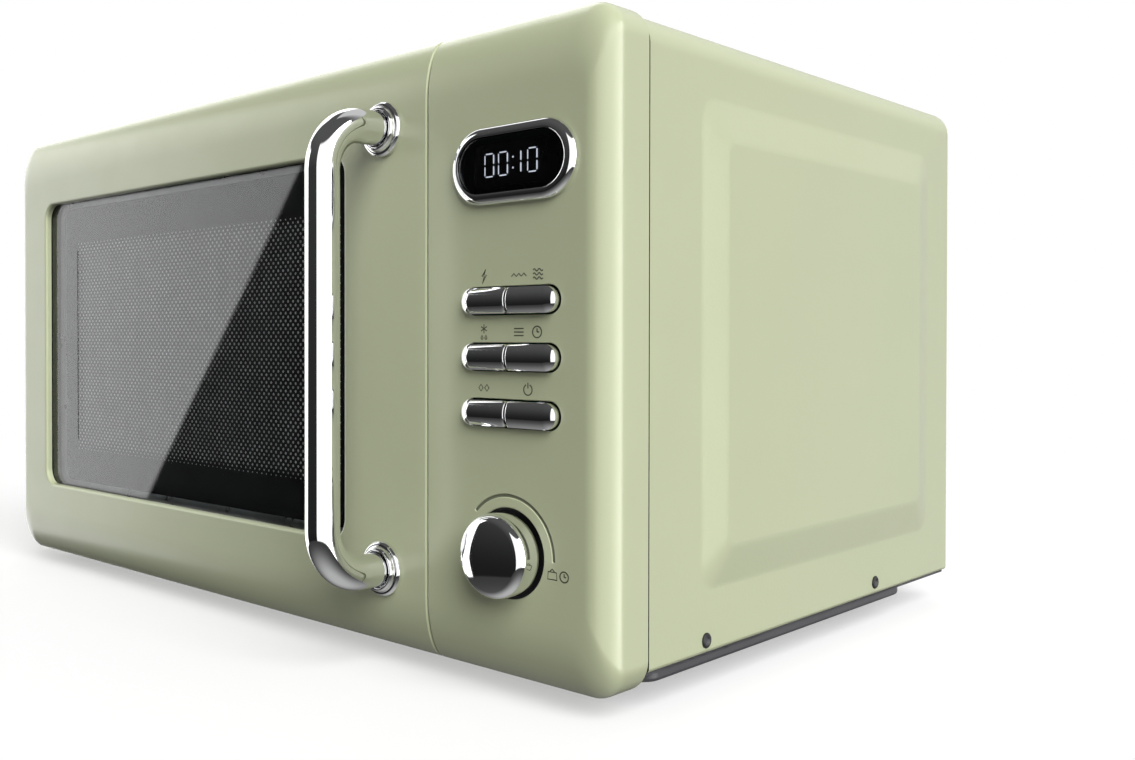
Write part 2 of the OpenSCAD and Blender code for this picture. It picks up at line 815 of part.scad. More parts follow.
module control_board() {
    color([0.12, 0.36, 0.20]) at_face() {
        box([seam_x + 7, board_y, 38], [front_half - 8, board_y + 1.6, 224]);
        for (z = [80, 104]) box([keys_x - 24, board_y + 1.5, z], [keys_x - 6, board_y + 14, z + 15]);
        box([keys_x + 4, board_y + 1.5, 84], [keys_x + 30, board_y + 18, 116]);
    }
}

module key_switches() {
    color(dark) at_face() for (row = [0 : 2], side = [-1, 1])
        translate([keys_x + side * key_w / 4, 0, row_z(row)]) {
            box([-3, board_y - 3.6, -3], [3, board_y, 3]);
            bar_y(1.75, board_y - 4.8, board_y - 3.5);
        }
}

// Everything on one side of the split between two keys
module key_side(side, from) {
    translate([side > 0 ? from : -key_w, -key_h]) square([key_w - from, 2 * key_h]);
}

// Half of a pill-shaped key, with the flange that holds it behind the panel
module key(row, side) {
    flange = 0.9;
    color(chrome) at_face() translate([keys_x, 0, row_z(row)]) {
        intersection() {
            along_y(-key_out, flange_y + 0.1) intersection() {
                pill(key_w, key_h);
                key_side(side, key_split / 2);
            }
            translate([0, key_crown_r - key_out, 0]) bar_x(key_crown_r, -key_w, key_w);
        }
        along_y(flange_y, flange_y + 1.8) intersection() {
            pill(key_w + 2 * flange + 1, key_h + 2 * flange + 1);
            key_side(side, key_split / 2 + 0.2);
        }
        translate([side * key_w / 4, 0, 0]) bar_y(2, flange_y + 1.7, board_y - 4.8 - key_travel - 0.1);
    }
}

module key_power_level() {
    key(0, -1);
}

module key_grill() {
    key(0, 1);
}

module key_defrost() {
    key(1, -1);
}

module key_clock() {
    key(1, 1);
}

module key_stop() {
    key(2, -1);
}

module key_start() {
    key(2, 1);
}

module knob_ring() {
    color(dark) at_face() translate([knob_x, 0, knob_z])
        turned_forward([[4.5, -3.6], [recess_r - 0.1, -3.6], [recess_r - 0.1, -1], [recess_r - 0.9, -1],
            [recess_r - 0.9, -2.6], [4.5, -2.6]]);
}

module rotary_encoder() {
    color(steel) at_face() translate([knob_x, 0, knob_z]) difference() {
        union() {
            box([-6, board_y - 5, -6], [6, board_y, 6]);
            bar_y(4, 4.4, board_y - 4.9);
        }
        bar_y(2.8, 3, board_y - 1);
    }
}

// Domed knob with the shaft that turns in the encoder
module knob() {
    edge_x = knob_r - knob_edge_r;
    tilt = asin(edge_x / (knob_crown_r - knob_edge_r));
    crown_at = knob_out - knob_crown_r;
    edge_at = crown_at + (knob_crown_r - knob_edge_r) * cos(tilt);
    edge = [for (i = [0 : 5]) let(a = 90 + (tilt - 90) * i / 6)
        [edge_x + knob_edge_r * sin(a), edge_at + knob_edge_r * cos(a)]];
    crown = [for (i = [0 : 4]) let(a = tilt * (1 - i / 4))
        [knob_crown_r * sin(a), crown_at + knob_crown_r * cos(a)]];
    body = [[0, -12], [2.75, -12], [2.75, -2], [5.5, -2], [5.5, 1], [knob_r - 2, 1],
        [knob_r - 2, 0.4], [knob_r, 0.4]];
    color(chrome) at_face() translate([knob_x, 0, knob_z]) turned_forward(concat(body, edge, crown));
}

// ---- turntable ----

// Hub with three lobes on a steel shaft
module turntable_coupler() {
    color([0.9, 0.9, 0.88]) at_face() translate([cav_x, cav_mid_y, 0]) {
        translate([0, 0, pan_z + 4]) cylinder(r = shaft_r, h = cav_floor - pan_z + 2);
        translate([0, 0, cav_floor + 0.4]) cylinder(r = 8, h = glass_z - cav_floor - 0.4);
        for (i = [0 : 2]) rotate([0, 0, 120 * i]) translate([6, -3.5, cav_floor + 6])
            cube([14, 7, glass_z - cav_floor - 6]);
    }
}

module glass_turntable() {
    thick = 4.5;
    rim = 11;
    color([0.75, 0.82, 0.80, 0.35]) at_face() translate([cav_x, cav_mid_y, glass_z])
        rotate_extrude($fn = 128)
            polygon([[0, 0], [plate_r - 16, 0], [plate_r - 8, 2.5], [plate_r, rim - 1], [plate_r, rim],
                [plate_r - 3, rim], [plate_r - 10, thick + 2], [plate_r - 17, thick], [0, thick]]);
}

module roller_ring() {
    color([0.86, 0.86, 0.84]) at_face() translate([cav_x, cav_mid_y, roller_z]) {
        rotate_extrude($fn = 128) translate([ring_r - 4, -2.5]) square([7, 5]);
        for (i = [0 : 2]) rotate([0, 0, 90 + 120 * i]) bar_x(axle_r, ring_r + 2.9, roller_at + 6);
    }
}

module roller(i) {
    color([0.92, 0.92, 0.90]) at_face() translate([cav_x, cav_mid_y, roller_z]) rotate([0, 0, 90 + 120 * i])
        translate([roller_at, 0, 0]) rotate([0, 90, 0]) translate([0, 0, -3.5]) difference() {
            rotate_extrude() polygon([[0, 0], [roller_r - 0.8, 0], [roller_r, 0.8], [roller_r, 6.2],
                [roller_r - 0.8, 7], [0, 7]]);
            translate([0, 0, -1]) cylinder(r = axle_r + 0.05, h = 9);
        }
}

module roller_1() {
    roller(0);
}

module roller_2() {
    roller(1);
}

module roller_3() {
    roller(2);
}

// ---- build ----

outer_cabinet();
base_plate();
feet();
back_panel();
rear_spacers();
cabinet_screws();
cord_gland();
oven_cavity();
hinge_upper();
hinge_lower();
waveguide();
waveguide_cover();
grill_element();
magnetron();
hv_transformer();
hv_capacitor();
hv_diode();
fan_motor();
fan_duct();
lamp_socket();
lamp_bulb();
turntable_motor();
interlock_bracket();
door_switches();
control_panel();
display_bezel();
display_lens();
display_module();
control_board();
key_switches();
rotary_encoder();
knob_ring();
door_shell();
window_gasket();
window_glass();
mesh_screen();
inner_door_frame();
choke_cover();
inner_film();
handle_tube();
handle_rosettes();
handle_screws();
hinge_bushes();
latch_guides();
latch_spring();
latch_hooks();
glass_turntable();
turntable_coupler();
roller_ring();
roller_1();
roller_2();
roller_3();
fan_blades();
knob();
key_power_level();
key_grill();
key_defrost();
key_clock();
key_stop();
key_start();
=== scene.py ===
"""Looks of a countertop microwave oven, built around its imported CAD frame.

The frame is in metres: +X to the right seen from the front, +Y to the back, +Z up.
Outlines here are in millimetres, with Y counted from the flat front face.
"""

import math

import bmesh
import bpy
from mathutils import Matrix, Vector
from mathutils.geometry import tessellate_polygon


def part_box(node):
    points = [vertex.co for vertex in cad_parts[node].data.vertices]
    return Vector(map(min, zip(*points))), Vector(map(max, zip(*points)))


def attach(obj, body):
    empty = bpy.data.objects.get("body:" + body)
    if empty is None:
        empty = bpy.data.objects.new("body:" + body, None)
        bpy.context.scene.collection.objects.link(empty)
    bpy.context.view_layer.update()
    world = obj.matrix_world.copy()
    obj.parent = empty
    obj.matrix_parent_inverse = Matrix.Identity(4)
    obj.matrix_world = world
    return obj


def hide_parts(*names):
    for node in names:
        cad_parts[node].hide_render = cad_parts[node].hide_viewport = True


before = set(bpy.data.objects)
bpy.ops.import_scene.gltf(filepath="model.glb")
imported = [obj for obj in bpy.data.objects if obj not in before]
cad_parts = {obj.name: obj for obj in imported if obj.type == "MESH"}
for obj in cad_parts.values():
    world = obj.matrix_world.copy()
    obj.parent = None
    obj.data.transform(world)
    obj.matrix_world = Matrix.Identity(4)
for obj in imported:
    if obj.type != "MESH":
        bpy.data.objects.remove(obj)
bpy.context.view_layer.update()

MM = 0.001
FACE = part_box("control_panel")[0].y

# ---- places, from the frame ----


def corners(node):
    """Lowest and highest corner of a CAD node in millimetres, Y counted from the front face."""
    low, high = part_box(node)
    return [(c.x / MM, (c.y - FACE) / MM, c.z / MM) for c in (low, high)]


def middle(node):
    """Centre of a CAD node's box in millimetres."""
    low, high = corners(node)
    return [(a + b) / 2 for a, b in zip(low, high)]


DOOR_HIGH = corners("door_shell")[1]
PANEL_LOW, PANEL_HIGH = corners("control_panel")
CABINET_LOW, CABINET_HIGH = corners("outer_cabinet")

# Front
FRONT_HALF = PANEL_HIGH[0]
FRONT_LOW, FRONT_TOP = PANEL_LOW[2], PANEL_HIGH[2]
MID_Z = (FRONT_LOW + FRONT_TOP) / 2
HALF_H = (FRONT_TOP - FRONT_LOW) / 2
CORNER_R = 13
EDGE_R = 10.4
CURVE_D = 11
CURVE_H = 26
WALL = 2.5
SEAM_FILLET = 0.8

# Material slots of the moulded fronts and the keys, after the visible finish: painted shade on the deep
# walls of holes and on the keys' split ends, and painted shade in the engraved arc
PAINTED_SHADE = 1
GROOVE_PAINTED_SHADE = 2

# Window
GLASS_MARGIN = 7
GLASS_LOW, GLASS_HIGH = corners("window_glass")
WIN_X, _, WIN_Z = middle("window_glass")
WIN_W = GLASS_HIGH[0] - GLASS_LOW[0] - 2 * GLASS_MARGIN
WIN_H = GLASS_HIGH[2] - GLASS_LOW[2] - 2 * GLASS_MARGIN
WIN_R = 9
LIP_D = corners("window_gasket")[0][1]
MESH_LEFT, MESH_RIGHT = WIN_X - 119, WIN_X + 119.5
MESH_LOW, MESH_TOP = WIN_Z - 62, WIN_Z + 61
PRINT_X, PRINT_HALF = WIN_X - 104.3, 0.4

# Controls
DISPLAY_X, _, DISPLAY_Z = middle("display_bezel")
BEZEL_LOW, BEZEL_HIGH = corners("display_bezel")
BEZEL_W = BEZEL_HIGH[0] - BEZEL_LOW[0]
BEZEL_H = BEZEL_HIGH[2] - BEZEL_LOW[2]
LENS_LOW, LENS_HIGH = corners("display_lens")
LENS_W = LENS_HIGH[0] - LENS_LOW[0]
LENS_H = LENS_HIGH[2] - LENS_LOW[2]
KNOB_X, _, KNOB_Z = middle("knob")
KNOB_R = (corners("knob")[1][0] - corners("knob")[0][0]) / 2
WELL_R = (corners("knob_ring")[1][0] - corners("knob_ring")[0][0]) / 2 - 0.4
KEYS_LOW = corners("key_power_level")[0]
KEYS_HIGH = corners("key_grill")[1]
KEY_FLANGE = 1.4
KEYS_X = (KEYS_LOW[0] + KEYS_HIGH[0]) / 2
KEY_W = KEYS_HIGH[0] - KEYS_LOW[0] - 2 * KEY_FLANGE
KEY_H = KEYS_HIGH[2] - KEYS_LOW[2] - 2 * KEY_FLANGE
KEY_OUT = -KEYS_LOW[1]
KEY_ROWS = [middle(name)[2] for name in ("key_power_level", "key_defrost", "key_stop")]

# ---- outlines: loops of (across, up) points ----


def arc(x, z, r, start, end, steps):
    """Points on an arc, with angles in degrees."""
    turns = [math.radians(start + (end - start) * i / steps) for i in range(steps + 1)]
    return [(x + r * math.cos(t), z + r * math.sin(t)) for t in turns]


def rounded_rect(x, z, w, h, r, steps=8):
    spots = [(1, 1, 0), (-1, 1, 90), (-1, -1, 180), (1, -1, 270)]
    return [
        p
        for sx, sz, start in spots
        for p in arc(x + sx * (w / 2 - r), z + sz * (h / 2 - r), r, start, start + 90, steps)
    ]


def pill(x, z, w, h, steps=32):
    reach = (w - h) / 2
    return arc(x + reach, z, h / 2, -90, 90, steps) + arc(x - reach, z, h / 2, 90, 270, steps)


def circle(x, z, r, steps=96):
    return arc(x, z, r, 0, 360, steps)[:-1]


def at_depth(outline, y):
    return [(x, y, z) for x, z in outline]


def quarter(r, steps=6):
    """Offset and depth along a rounded rim that starts flush with the face."""
    turns = [math.pi / 2 * i / steps for i in range(steps + 1)]
    return [(r * (1 - math.sin(t)), r * (1 - math.cos(t))) for t in turns]


# ---- mesh pieces ----


class Shell:
    """Collects faces in millimetres and makes one welded mesh piece of them."""

    def __init__(self):
        self.points = []
        self.lookup = {}
        self.faces = []
        self.paints = []
        self.paint = 0

    def point(self, p):
        key = tuple(round(c, 4) for c in p)
        if key not in self.lookup:
            self.lookup[key] = len(self.points)
            self.points.append(key)
        return self.lookup[key]

    def face(self, loop):
        ids = [self.point(p) for p in loop]
        ids = [i for n, i in enumerate(ids) if i != ids[n - 1]]
        if len(set(ids)) >= 3:
            self.faces.append(ids)
            self.paints.append(self.paint)

    def strip(self, rows, closed=False):
        for a, b in zip(rows, rows[1:]):
            for i in range(len(a) if closed else len(a) - 1):
                j = (i + 1) % len(a)
                self.face([a[i], a[j], b[j], b[i]])

    def fill(self, *loops):
        """Fills a flat outline. Later loops are holes in the first."""
        flat = [p for loop in loops for p in loop]
        for triangle in tessellate_polygon([[Vector(p) for p in loop] for loop in loops]):
            self.face([flat[i] for i in triangle])

    def loft(self, rows):
        """A closed solid through rows of closed loops, with flat ends."""
        self.strip(rows, closed=True)
        self.fill(rows[0])
        self.fill(rows[-1])

    def piece(self, name, body, looks, replaces=(), sharp=38):
        mesh = bpy.data.meshes.new(name)
        places = [(x * MM, y * MM + FACE, z * MM) for x, y, z in self.points]
        mesh.from_pydata(places, [], self.faces)
        looks = looks if isinstance(looks, (list, tuple)) else [looks]
        for look in looks:
            mesh.materials.append(look)
        for polygon, paint in zip(mesh.polygons, self.paints):
            polygon.material_index = paint
            polygon.use_smooth = True
        bm = bmesh.new()
        bm.from_mesh(mesh)
        bmesh.ops.recalc_face_normals(bm, faces=bm.faces)
        bm.to_mesh(mesh)
        bm.free()
        mesh.set_sharp_from_angle(angle=math.radians(sharp))
        obj = bpy.data.objects.new(name, mesh)
        bpy.context.scene.collection.objects.link(obj)
        even_normals(obj)
        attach(obj, body)
        if replaces:
            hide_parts(*replaces)
        return obj


def even_normals(obj):
    """Keeps flat faces flat in shading next to small rounded edges."""
    modifier = obj.modifiers.new("even_normals", "WEIGHTED_NORMAL")
    modifier.keep_sharp = True
    modifier.weight = 60


def rim(shell, outline, steps):
    """Walls round a hole: outline(offset) gives the loop and steps are (offset, depth)."""
    shell.strip([at_depth(outline(offset), y) for offset, y in steps], closed=True)


def turned(shell, profile, centre, axis="y", steps=96):
    """A turned solid. The profile is (radius, distance along the axis), ends on the axis or open."""
    rows = []
    for r, along in profile:
        loop = circle(0, 0, max(r, 0), steps)
        if axis == "y":
            rows.append([(centre[0] + a, centre[1] + along, centre[2] + b) for a, b in loop])
        else:
            rows.append([(centre[0] + a, centre[1] + b, centre[2] + along) for a, b in loop])
    shell.strip(rows, closed=True)
    for row, (r, _) in ((rows[0], profile[0]), (rows[-1], profile[-1])):
        if r > 0:
            shell.fill(row)


def rounded_profile(points, r, steps=4):
    """Rounds the inner corners of an open profile with arcs of about radius r."""
    out = [points[0]]
    for a, b, c in zip(points, points[1:], points[2:]):
        before, after = Vector(a) - Vector(b), Vector(c) - Vector(b)
        cut = min(r, before.length * 0.48, after.length * 0.48)
        start, end = Vector(b) + before.normalized() * cut, Vector(b) + after.normalized() * cut
        for i in range(steps + 1):
            t = i / steps
            p = start * (1 - t) ** 2 + Vector(b) * 2 * t * (1 - t) + end * t ** 2
            out.append(tuple(p))
    return out + [points[-1]]


# ---- materials ----


def node(tree, kind, inputs=(), **settings):
    made = tree.nodes.new(kind)
    for key, value in settings.items():
        setattr(made, key, value)
    for key, value in dict(inputs).items():
        if isinstance(value, bpy.types.NodeSocket):
            tree.links.new(value, made.inputs[key])
        else:
            made.inputs[key].default_value = value
    return made


def noise(tree, vector, scale, detail=3.0):
    return node(
        tree, "ShaderNodeTexNoise", {"Vector": vector, "Scale": scale, "Detail": detail}
    ).outputs["Fac"]


def spread(tree, value, low, high):
    """Maps the middle of a noise to low..high."""
    inputs = {"Value": value, "From Min": 0.3, "From Max": 0.7, "To Min": low, "To Max": high}
    return node(tree, "ShaderNodeMapRange", inputs).outputs["Result"]


def finish(
    name,
    colour,
    rough,
    metal=0.0,
    vary=0.04,
    vary_scale=18.0,
    rough_vary=0.05,
    rough_scale=60.0,
    bump=0.0,
    bump_scale=900.0,
    stretch=(1.0, 1.0, 1.0),
    **sockets,
):
    """A material whose colour, gloss and relief vary a little, at the scale of the real surface."""
    made = bpy.data.materials.new(name)
    made.use_nodes = True
    tree = made.node_tree
    tree.nodes.clear()
    out = node(tree, "ShaderNodeOutputMaterial")
    shader = node(tree, "ShaderNodeBsdfPrincipled", {"Metallic": metal})
    for key, value in sockets.items():
        shader.inputs[key.replace("_", " ")].default_value = value
    tree.links.new(shader.outputs["BSDF"], out.inputs["Surface"])
    place = node(tree, "ShaderNodeTexCoord").outputs["Object"]
    grain = node(tree, "ShaderNodeMapping", {"Vector": place, "Scale": stretch}).outputs["Vector"]
    tint = spread(tree, noise(tree, grain, vary_scale), 1 - vary, 1 + vary)
    colour_node = node(
        tree, "ShaderNodeVectorMath", {0: [*colour], 1: tint}, operation="MULTIPLY"
    )
    tree.links.new(colour_node.outputs["Vector"], shader.inputs["Base Color"])
    gloss = noise(tree, grain, rough_scale, 4.0)
    rough_low = max(rough - rough_vary, 0.005)
    tree.links.new(spread(tree, gloss, rough_low, rough + rough_vary), shader.inputs["Roughness"])
    if bump > 0:
        relief = node(
            tree,
            "ShaderNodeBump",
            {"Height": noise(tree, grain, bump_scale, 2.0), "Strength": bump, "Distance": MM},
        )
        tree.links.new(relief.outputs["Normal"], shader.inputs["Normal"])
    return made


SAGE = (0.500, 0.540, 0.350)
LOOKS = {
    "sage_enamel": finish(
        "sage_enamel", SAGE, 0.34, vary=0.012, vary_scale=9, bump=0.05, bump_scale=700,
        Coat_Weight=0.6, Coat_Roughness=0.2,
    ),
    "sage_plastic": finish(
        "sage_plastic", SAGE, 0.38, vary=0.012, vary_scale=12, bump=0.03, bump_scale=1400,
        Coat_Weight=0.8, Coat_Roughness=0.22,
    ),
    # painted shade: a near-black sage for the deep walls of holes, where shade falls
    "sage_painted_shade": finish("sage_painted_shade", (0.030, 0.033, 0.022), 0.6, vary=0.15, vary_scale=90),
    # painted shade: a darker sage for the engraved arc, for the shade in the groove
    "groove_painted_shade": finish("groove_painted_shade", (0.150, 0.160, 0.105), 0.5, vary=0.10, vary_scale=90),
    "chrome": finish(
        "chrome", (0.90, 0.905, 0.91), 0.045, metal=1.0, vary=0.01, rough_vary=0.02,
        rough_scale=220, bump=0.004, bump_scale=260,
    ),
    "window_glass": finish(
        "window_glass", (0.62, 0.64, 0.64), 0.012, vary=0.01, rough_vary=0.006,
        Transmission_Weight=1.0, IOR=1.44,
    ),
    "clear_film": finish(
        "clear_film", (0.88, 0.90, 0.90), 0.10, rough_vary=0.04, bump=0.02, bump_scale=150,
        Transmission_Weight=0.9, IOR=1.4,
    ),
    "black_screen": finish(
        "black_screen", (0.008, 0.008, 0.009), 0.5, vary=0.2, bump=0.1, bump_scale=1500,
        Specular_IOR_Level=0.15,
    ),
    # painted light: pale dots that stand in for the lit inside seen through the screen's holes
    "painted_light_dots": finish("painted_light_dots", (0.85, 0.85, 0.84), 0.5, vary=0.25, vary_scale=120),
    "cavity_enamel": finish(
        "cavity_enamel", (0.50, 0.51, 0.50), 0.42, vary=0.02, bump=0.03, bump_scale=1100,
    ),
    "galvanised": finish(
        "galvanised", (0.60, 0.62, 0.64), 0.36, metal=1.0, vary=0.12, vary_scale=70,
        rough_vary=0.10, bump=0.05,
    ),
    "back_steel": finish(
        "back_steel", (0.45, 0.47, 0.46), 0.42, metal=0.6, vary=0.05, rough_vary=0.08,
        bump=0.05, bump_scale=500, stretch=(1, 1, 6),
    ),
    "dark_steel": finish(
        "dark_steel", (0.055, 0.055, 0.06), 0.38, vary=0.10, bump=0.08, bump_scale=1200,
    ),
    "black_plastic": finish(
        "black_plastic", (0.012, 0.012, 0.013), 0.45, vary=0.15, bump=0.12, bump_scale=1800,
    ),
    "white_plastic": finish(
        "white_plastic", (0.72, 0.72, 0.69), 0.42, vary=0.03, bump=0.05, bump_scale=900,
    ),
    "display_black": finish("display_black", (0.004, 0.004, 0.005), 0.30, vary=0.2),
    "display_lens": finish(
        "display_lens", (0.30, 0.30, 0.32), 0.02, vary=0.01, rough_vary=0.01,
        Transmission_Weight=1.0, IOR=1.35,
    ),
    "display_white": finish(
        "display_white", (0.80, 0.84, 0.90), 0.4, Emission_Color=(0.85, 0.92, 1.0, 1.0),
        Emission_Strength=2.2,
    ),
    "circuit_board": finish(
        "circuit_board", (0.02, 0.16, 0.07), 0.40, vary=0.2, vary_scale=400, bump=0.2,
    ),
    "iron_core": finish(
        "iron_core", (0.16, 0.15, 0.14), 0.5, metal=0.8, vary=0.15, bump=0.4, bump_scale=500,
        stretch=(8, 1, 1),
    ),
    "can_aluminium": finish(
        "can_aluminium", (0.72, 0.73, 0.74), 0.32, metal=1.0, bump=0.1, stretch=(1, 12, 1),
    ),
    "mica": finish(
        "mica", (0.52, 0.47, 0.34), 0.35, vary=0.25, vary_scale=160, Coat_Weight=0.3,
    ),
    "heater_tube": finish(
        "heater_tube", (0.24, 0.22, 0.20), 0.40, metal=1.0, vary=0.3, vary_scale=35, bump=0.1,
    ),
    "turntable_glass": finish(
        "turntable_glass", (0.90, 0.96, 0.94), 0.02, rough_vary=0.015, bump=0.01,
        bump_scale=90, Transmission_Weight=1.0, IOR=1.5,
    ),
    "lamp_glass": finish(
        "lamp_glass", (0.97, 0.95, 0.90), 0.05, Transmission_Weight=0.9, IOR=1.45,
    ),
    "rubber": finish("rubber", (0.018, 0.018, 0.018), 0.7, vary=0.2, bump=0.3, bump_scale=1500),
    "icon_print": finish("icon_print", (0.075, 0.08, 0.05), 0.5, vary=0.1, vary_scale=400),
}

# ---- door and control panel ----

EDGE_STEPS = 14
REAR_STEPS = 6


def end_path(side, seam_end, half_w, half_h, r, y):
    """Path round one end of the front at one depth, from the seam's top to its bottom."""
    top = arc(0, 0, r, 90, 180, 10)
    low = arc(0, 0, r, 180, 270, 10)
    turn = [(x - half_w + r, z + half_h - r) for x, z in top]
    turn += [(x - half_w + r, z - half_h + r) for x, z in low]
    path = [(-side * seam_end, half_h)] + turn + [(-side * seam_end, -half_h)]
    return [(-side * x, y, MID_Z + z) for x, z in path]


def end_rows(side, seam_end, inset, rear, rear_r):
    """Paths from the edge of the flat face round the curved edges to the open rear."""
    rows = []
    edge_r = EDGE_R - inset
    back_r = max(rear_r - inset, 0)
    half_w = FRONT_HALF - inset
    half_h = HALF_H - inset
    for i in range(EDGE_STEPS + 1):
        turn = math.pi / 2 * i / EDGE_STEPS
        depth = CURVE_D * (1 - math.cos(turn))
        left = max(edge_r - depth, 0)
        side_in = edge_r - math.sqrt(edge_r ** 2 - left ** 2)
        top_in = CURVE_H * (1 - math.sin(turn))
        r = CORNER_R - inset - 5 * (1 - math.sin(turn))
        rows.append(end_path(side, seam_end, half_w - side_in, half_h - top_in, r, inset + depth))
    for i in range(REAR_STEPS + 1):
        turn = math.pi / 2 * i / REAR_STEPS
        y = rear - back_r * (1 - math.sin(turn))
        side_in = back_r * (1 - math.cos(turn))
        rows.append(end_path(side, seam_end, half_w - side_in, half_h, CORNER_R - inset, y))
    return rows


def section(rows, x):
    """The same end cut across at x: from the rear over the top, down the face and under."""
    line = [row[0] for row in reversed(rows)] + [row[-1] for row in rows]
    return [(x, y, z) for _, y, z in line]


def front_shell(shell, side, seam_edge, rear, rear_r, holes, grooves=()):
    """A hollow moulded front. Each hole or groove is (outline, steps down from the face)."""
    seam_end = seam_edge + side * SEAM_FILLET
    outer = end_rows(side, seam_end, 0, rear, rear_r)
    inner = end_rows(side, seam_edge + side * WALL, WALL, rear, rear_r)
    shell.strip(outer)
    shell.strip(inner)
    cut = [*holes, *grooves]
    shell.fill(outer[0], *[at_depth(outline(steps[0][0]), 0) for outline, steps in cut])
    shell.fill(inner[0], *[at_depth(outline(steps[-1][0]), WALL) for outline, steps in holes])
    for outline, steps in cut:
        rim(shell, outline, steps[:-1])
    # painted shade: the deep part of each hole's wall is dark, for the shadow inside the hole
    shell.paint = PAINTED_SHADE
    for outline, steps in holes:
        rim(shell, outline, steps[-2:])
    # painted shade: the deep walls and floor of the engraved arc are darker sage
    shell.paint = GROOVE_PAINTED_SHADE
    for outline, steps in grooves:
        rim(shell, outline, steps[-2:])
        shell.fill(at_depth(outline(steps[-1][0]), steps[-1][1]))
    shell.paint = 0
    columns = []
    for i in range(5):
        turn = math.pi / 2 * i / 4
        inset = SEAM_FILLET * (1 - math.cos(turn))
        rows = end_rows(side, seam_end, inset, rear, rear_r)
        columns.append(section(rows, seam_end - side * SEAM_FILLET * math.sin(turn)))
    shell.strip(columns)
    shell.fill(columns[-1])
    shell.fill(section(inner, seam_edge + side * WALL))
    low_rim = [column[-1] for column in columns[1:]]
    top_rim = [column[0] for column in reversed(columns[1:])]
    shell.fill(outer[-1] + low_rim + top_rim, inner[-1])


def window_outline(offset):
    return rounded_rect(
        WIN_X, WIN_Z, WIN_W + 2 * offset, WIN_H + 2 * offset, WIN_R + offset, steps=10
    )


def carve(obj, shell):
    """Takes the shell's volume out of a piece."""
    mesh = bpy.data.meshes.new("cutter")
    mesh.from_pydata([(x * MM, y * MM + FACE, z * MM) for x, y, z in shell.points], [], shell.faces)
    bm = bmesh.new()
    bm.from_mesh(mesh)
    bmesh.ops.recalc_face_normals(bm, faces=bm.faces)
    bm.to_mesh(mesh)
    bm.free()
    cutter = bpy.data.objects.new("cutter", mesh)
    bpy.context.scene.collection.objects.link(cutter)
    modifier = obj.modifiers.new("carve", "BOOLEAN")
    modifier.object = cutter
    modifier.solver = "EXACT"
    bpy.context.view_layer.objects.active = obj
    bpy.ops.object.modifier_move_to_index(modifier="carve", index=0)
    bpy.ops.object.modifier_apply(modifier="carve")
    bpy.data.objects.remove(cutter)


def build_door():
    """Moulded door front, with slots in its hinge edge for the two brackets' arms."""
    shell = Shell()
    lip = [(offset, y) for offset, y in quarter(1.5, 8)] + [(0, LIP_D), (2, LIP_D), (2, WALL)]
    seam_edge = DOOR_HIGH[0]
    rear = DOOR_HIGH[1]
    hinge_r = 7.2
    front_shell(shell, -1, seam_edge, rear, hinge_r, [(window_outline, lip)])
    looks = [LOOKS["sage_plastic"], LOOKS["sage_painted_shade"]]
    door = shell.piece("door_front", "door", looks, ["door_shell"])
    hinge_x, hinge_y = -FRONT_HALF + hinge_r, rear - hinge_r
    clear = 0.6
    for bracket in ("hinge_lower", "hinge_upper"):
        low, high = corners(bracket)
        thick = 1.6
        floor = low[2] if bracket == "hinge_lower" else high[2] - thick
        wedge = [(hinge_x, hinge_y)] + arc(hinge_x, hinge_y, hinge_r + 5, 62, 218, 24)
        cutter = Shell()
        cutter.loft([[(x, y, z) for x, y in wedge] for z in (floor - clear, floor + thick + clear)])
        carve(door, cutter)


def build_window():
    """Dark glass between its front and rear seals."""
    ring = Shell()
    seal_front, seal_back = corners("window_gasket")[0][1], corners("window_gasket")[1][1]
    slack = 0.02
    near, far = seal_front + slack, GLASS_LOW[1] - slack
    front_seal = [(7, near), (0.3, near), (0.3, far), (7, far)]
    near = GLASS_HIGH[1] + slack
    back_seal = [(7, near), (4, near), (4, seal_back), (7, seal_back)]
    for steps in (front_seal, back_seal):
        rim(ring, window_outline, steps + [steps[0]])
    ring.piece("window_seals", "door", LOOKS["black_plastic"], ["window_gasket"])
    glass = Shell()
    front, back = GLASS_LOW[1], GLASS_HIGH[1]
    edge = [(5.9, front), (6.4, front + 0.5), (6.4, back - 0.5), (5.9, back)]
    glass.loft([at_depth(window_outline(offset), y) for offset, y in edge])
    glass.piece("window_pane", "door", LOOKS["window_glass"], ["window_glass"])


def build_mesh_screen():
    """Black screen with light plugs in its staggered perforations: painted light standing in for the lit
    inside seen through the holes.
    """
    low, high = corners("mesh_screen")
    pitch = 3.75
    row_step = 1.85
    hole_r = 0.72
    proud = 0.06
    shell = Shell()
    rows = int((MESH_TOP - MESH_LOW) / row_step)
    for row in range(rows + 1):
        z = MESH_LOW + row * row_step
        shift = pitch / 2 * (row % 2)
        for column in range(int((MESH_RIGHT - MESH_LEFT - shift) / pitch) + 1):
            x = MESH_LEFT + shift + column * pitch
            from_edge = min(z - MESH_LOW, MESH_TOP - z, x - MESH_LEFT, MESH_RIGHT - x)
            r = hole_r * min(1.0, 0.55 + 0.12 * from_edge)
            loop = circle(x, z, r, 6)
            shell.loft([at_depth(loop, low[1] - proud), at_depth(loop, high[1] + proud)])
    shell.piece("mesh_hole_painted_light", "door", LOOKS["painted_light_dots"])
    line = Shell()
    line_half = 55
    left, right = PRINT_X - PRINT_HALF, PRINT_X + PRINT_HALF
    low, top = WIN_Z - line_half, WIN_Z + line_half
    edge = [(left, low), (right, low), (right, top), (left, top)]
    line.loft([at_depth(edge, GLASS_LOW[1] - proud), at_depth(edge, GLASS_LOW[1] - 0.01)])
    line.piece("glass_print", "door", LOOKS["black_screen"])


# ---- handle ----


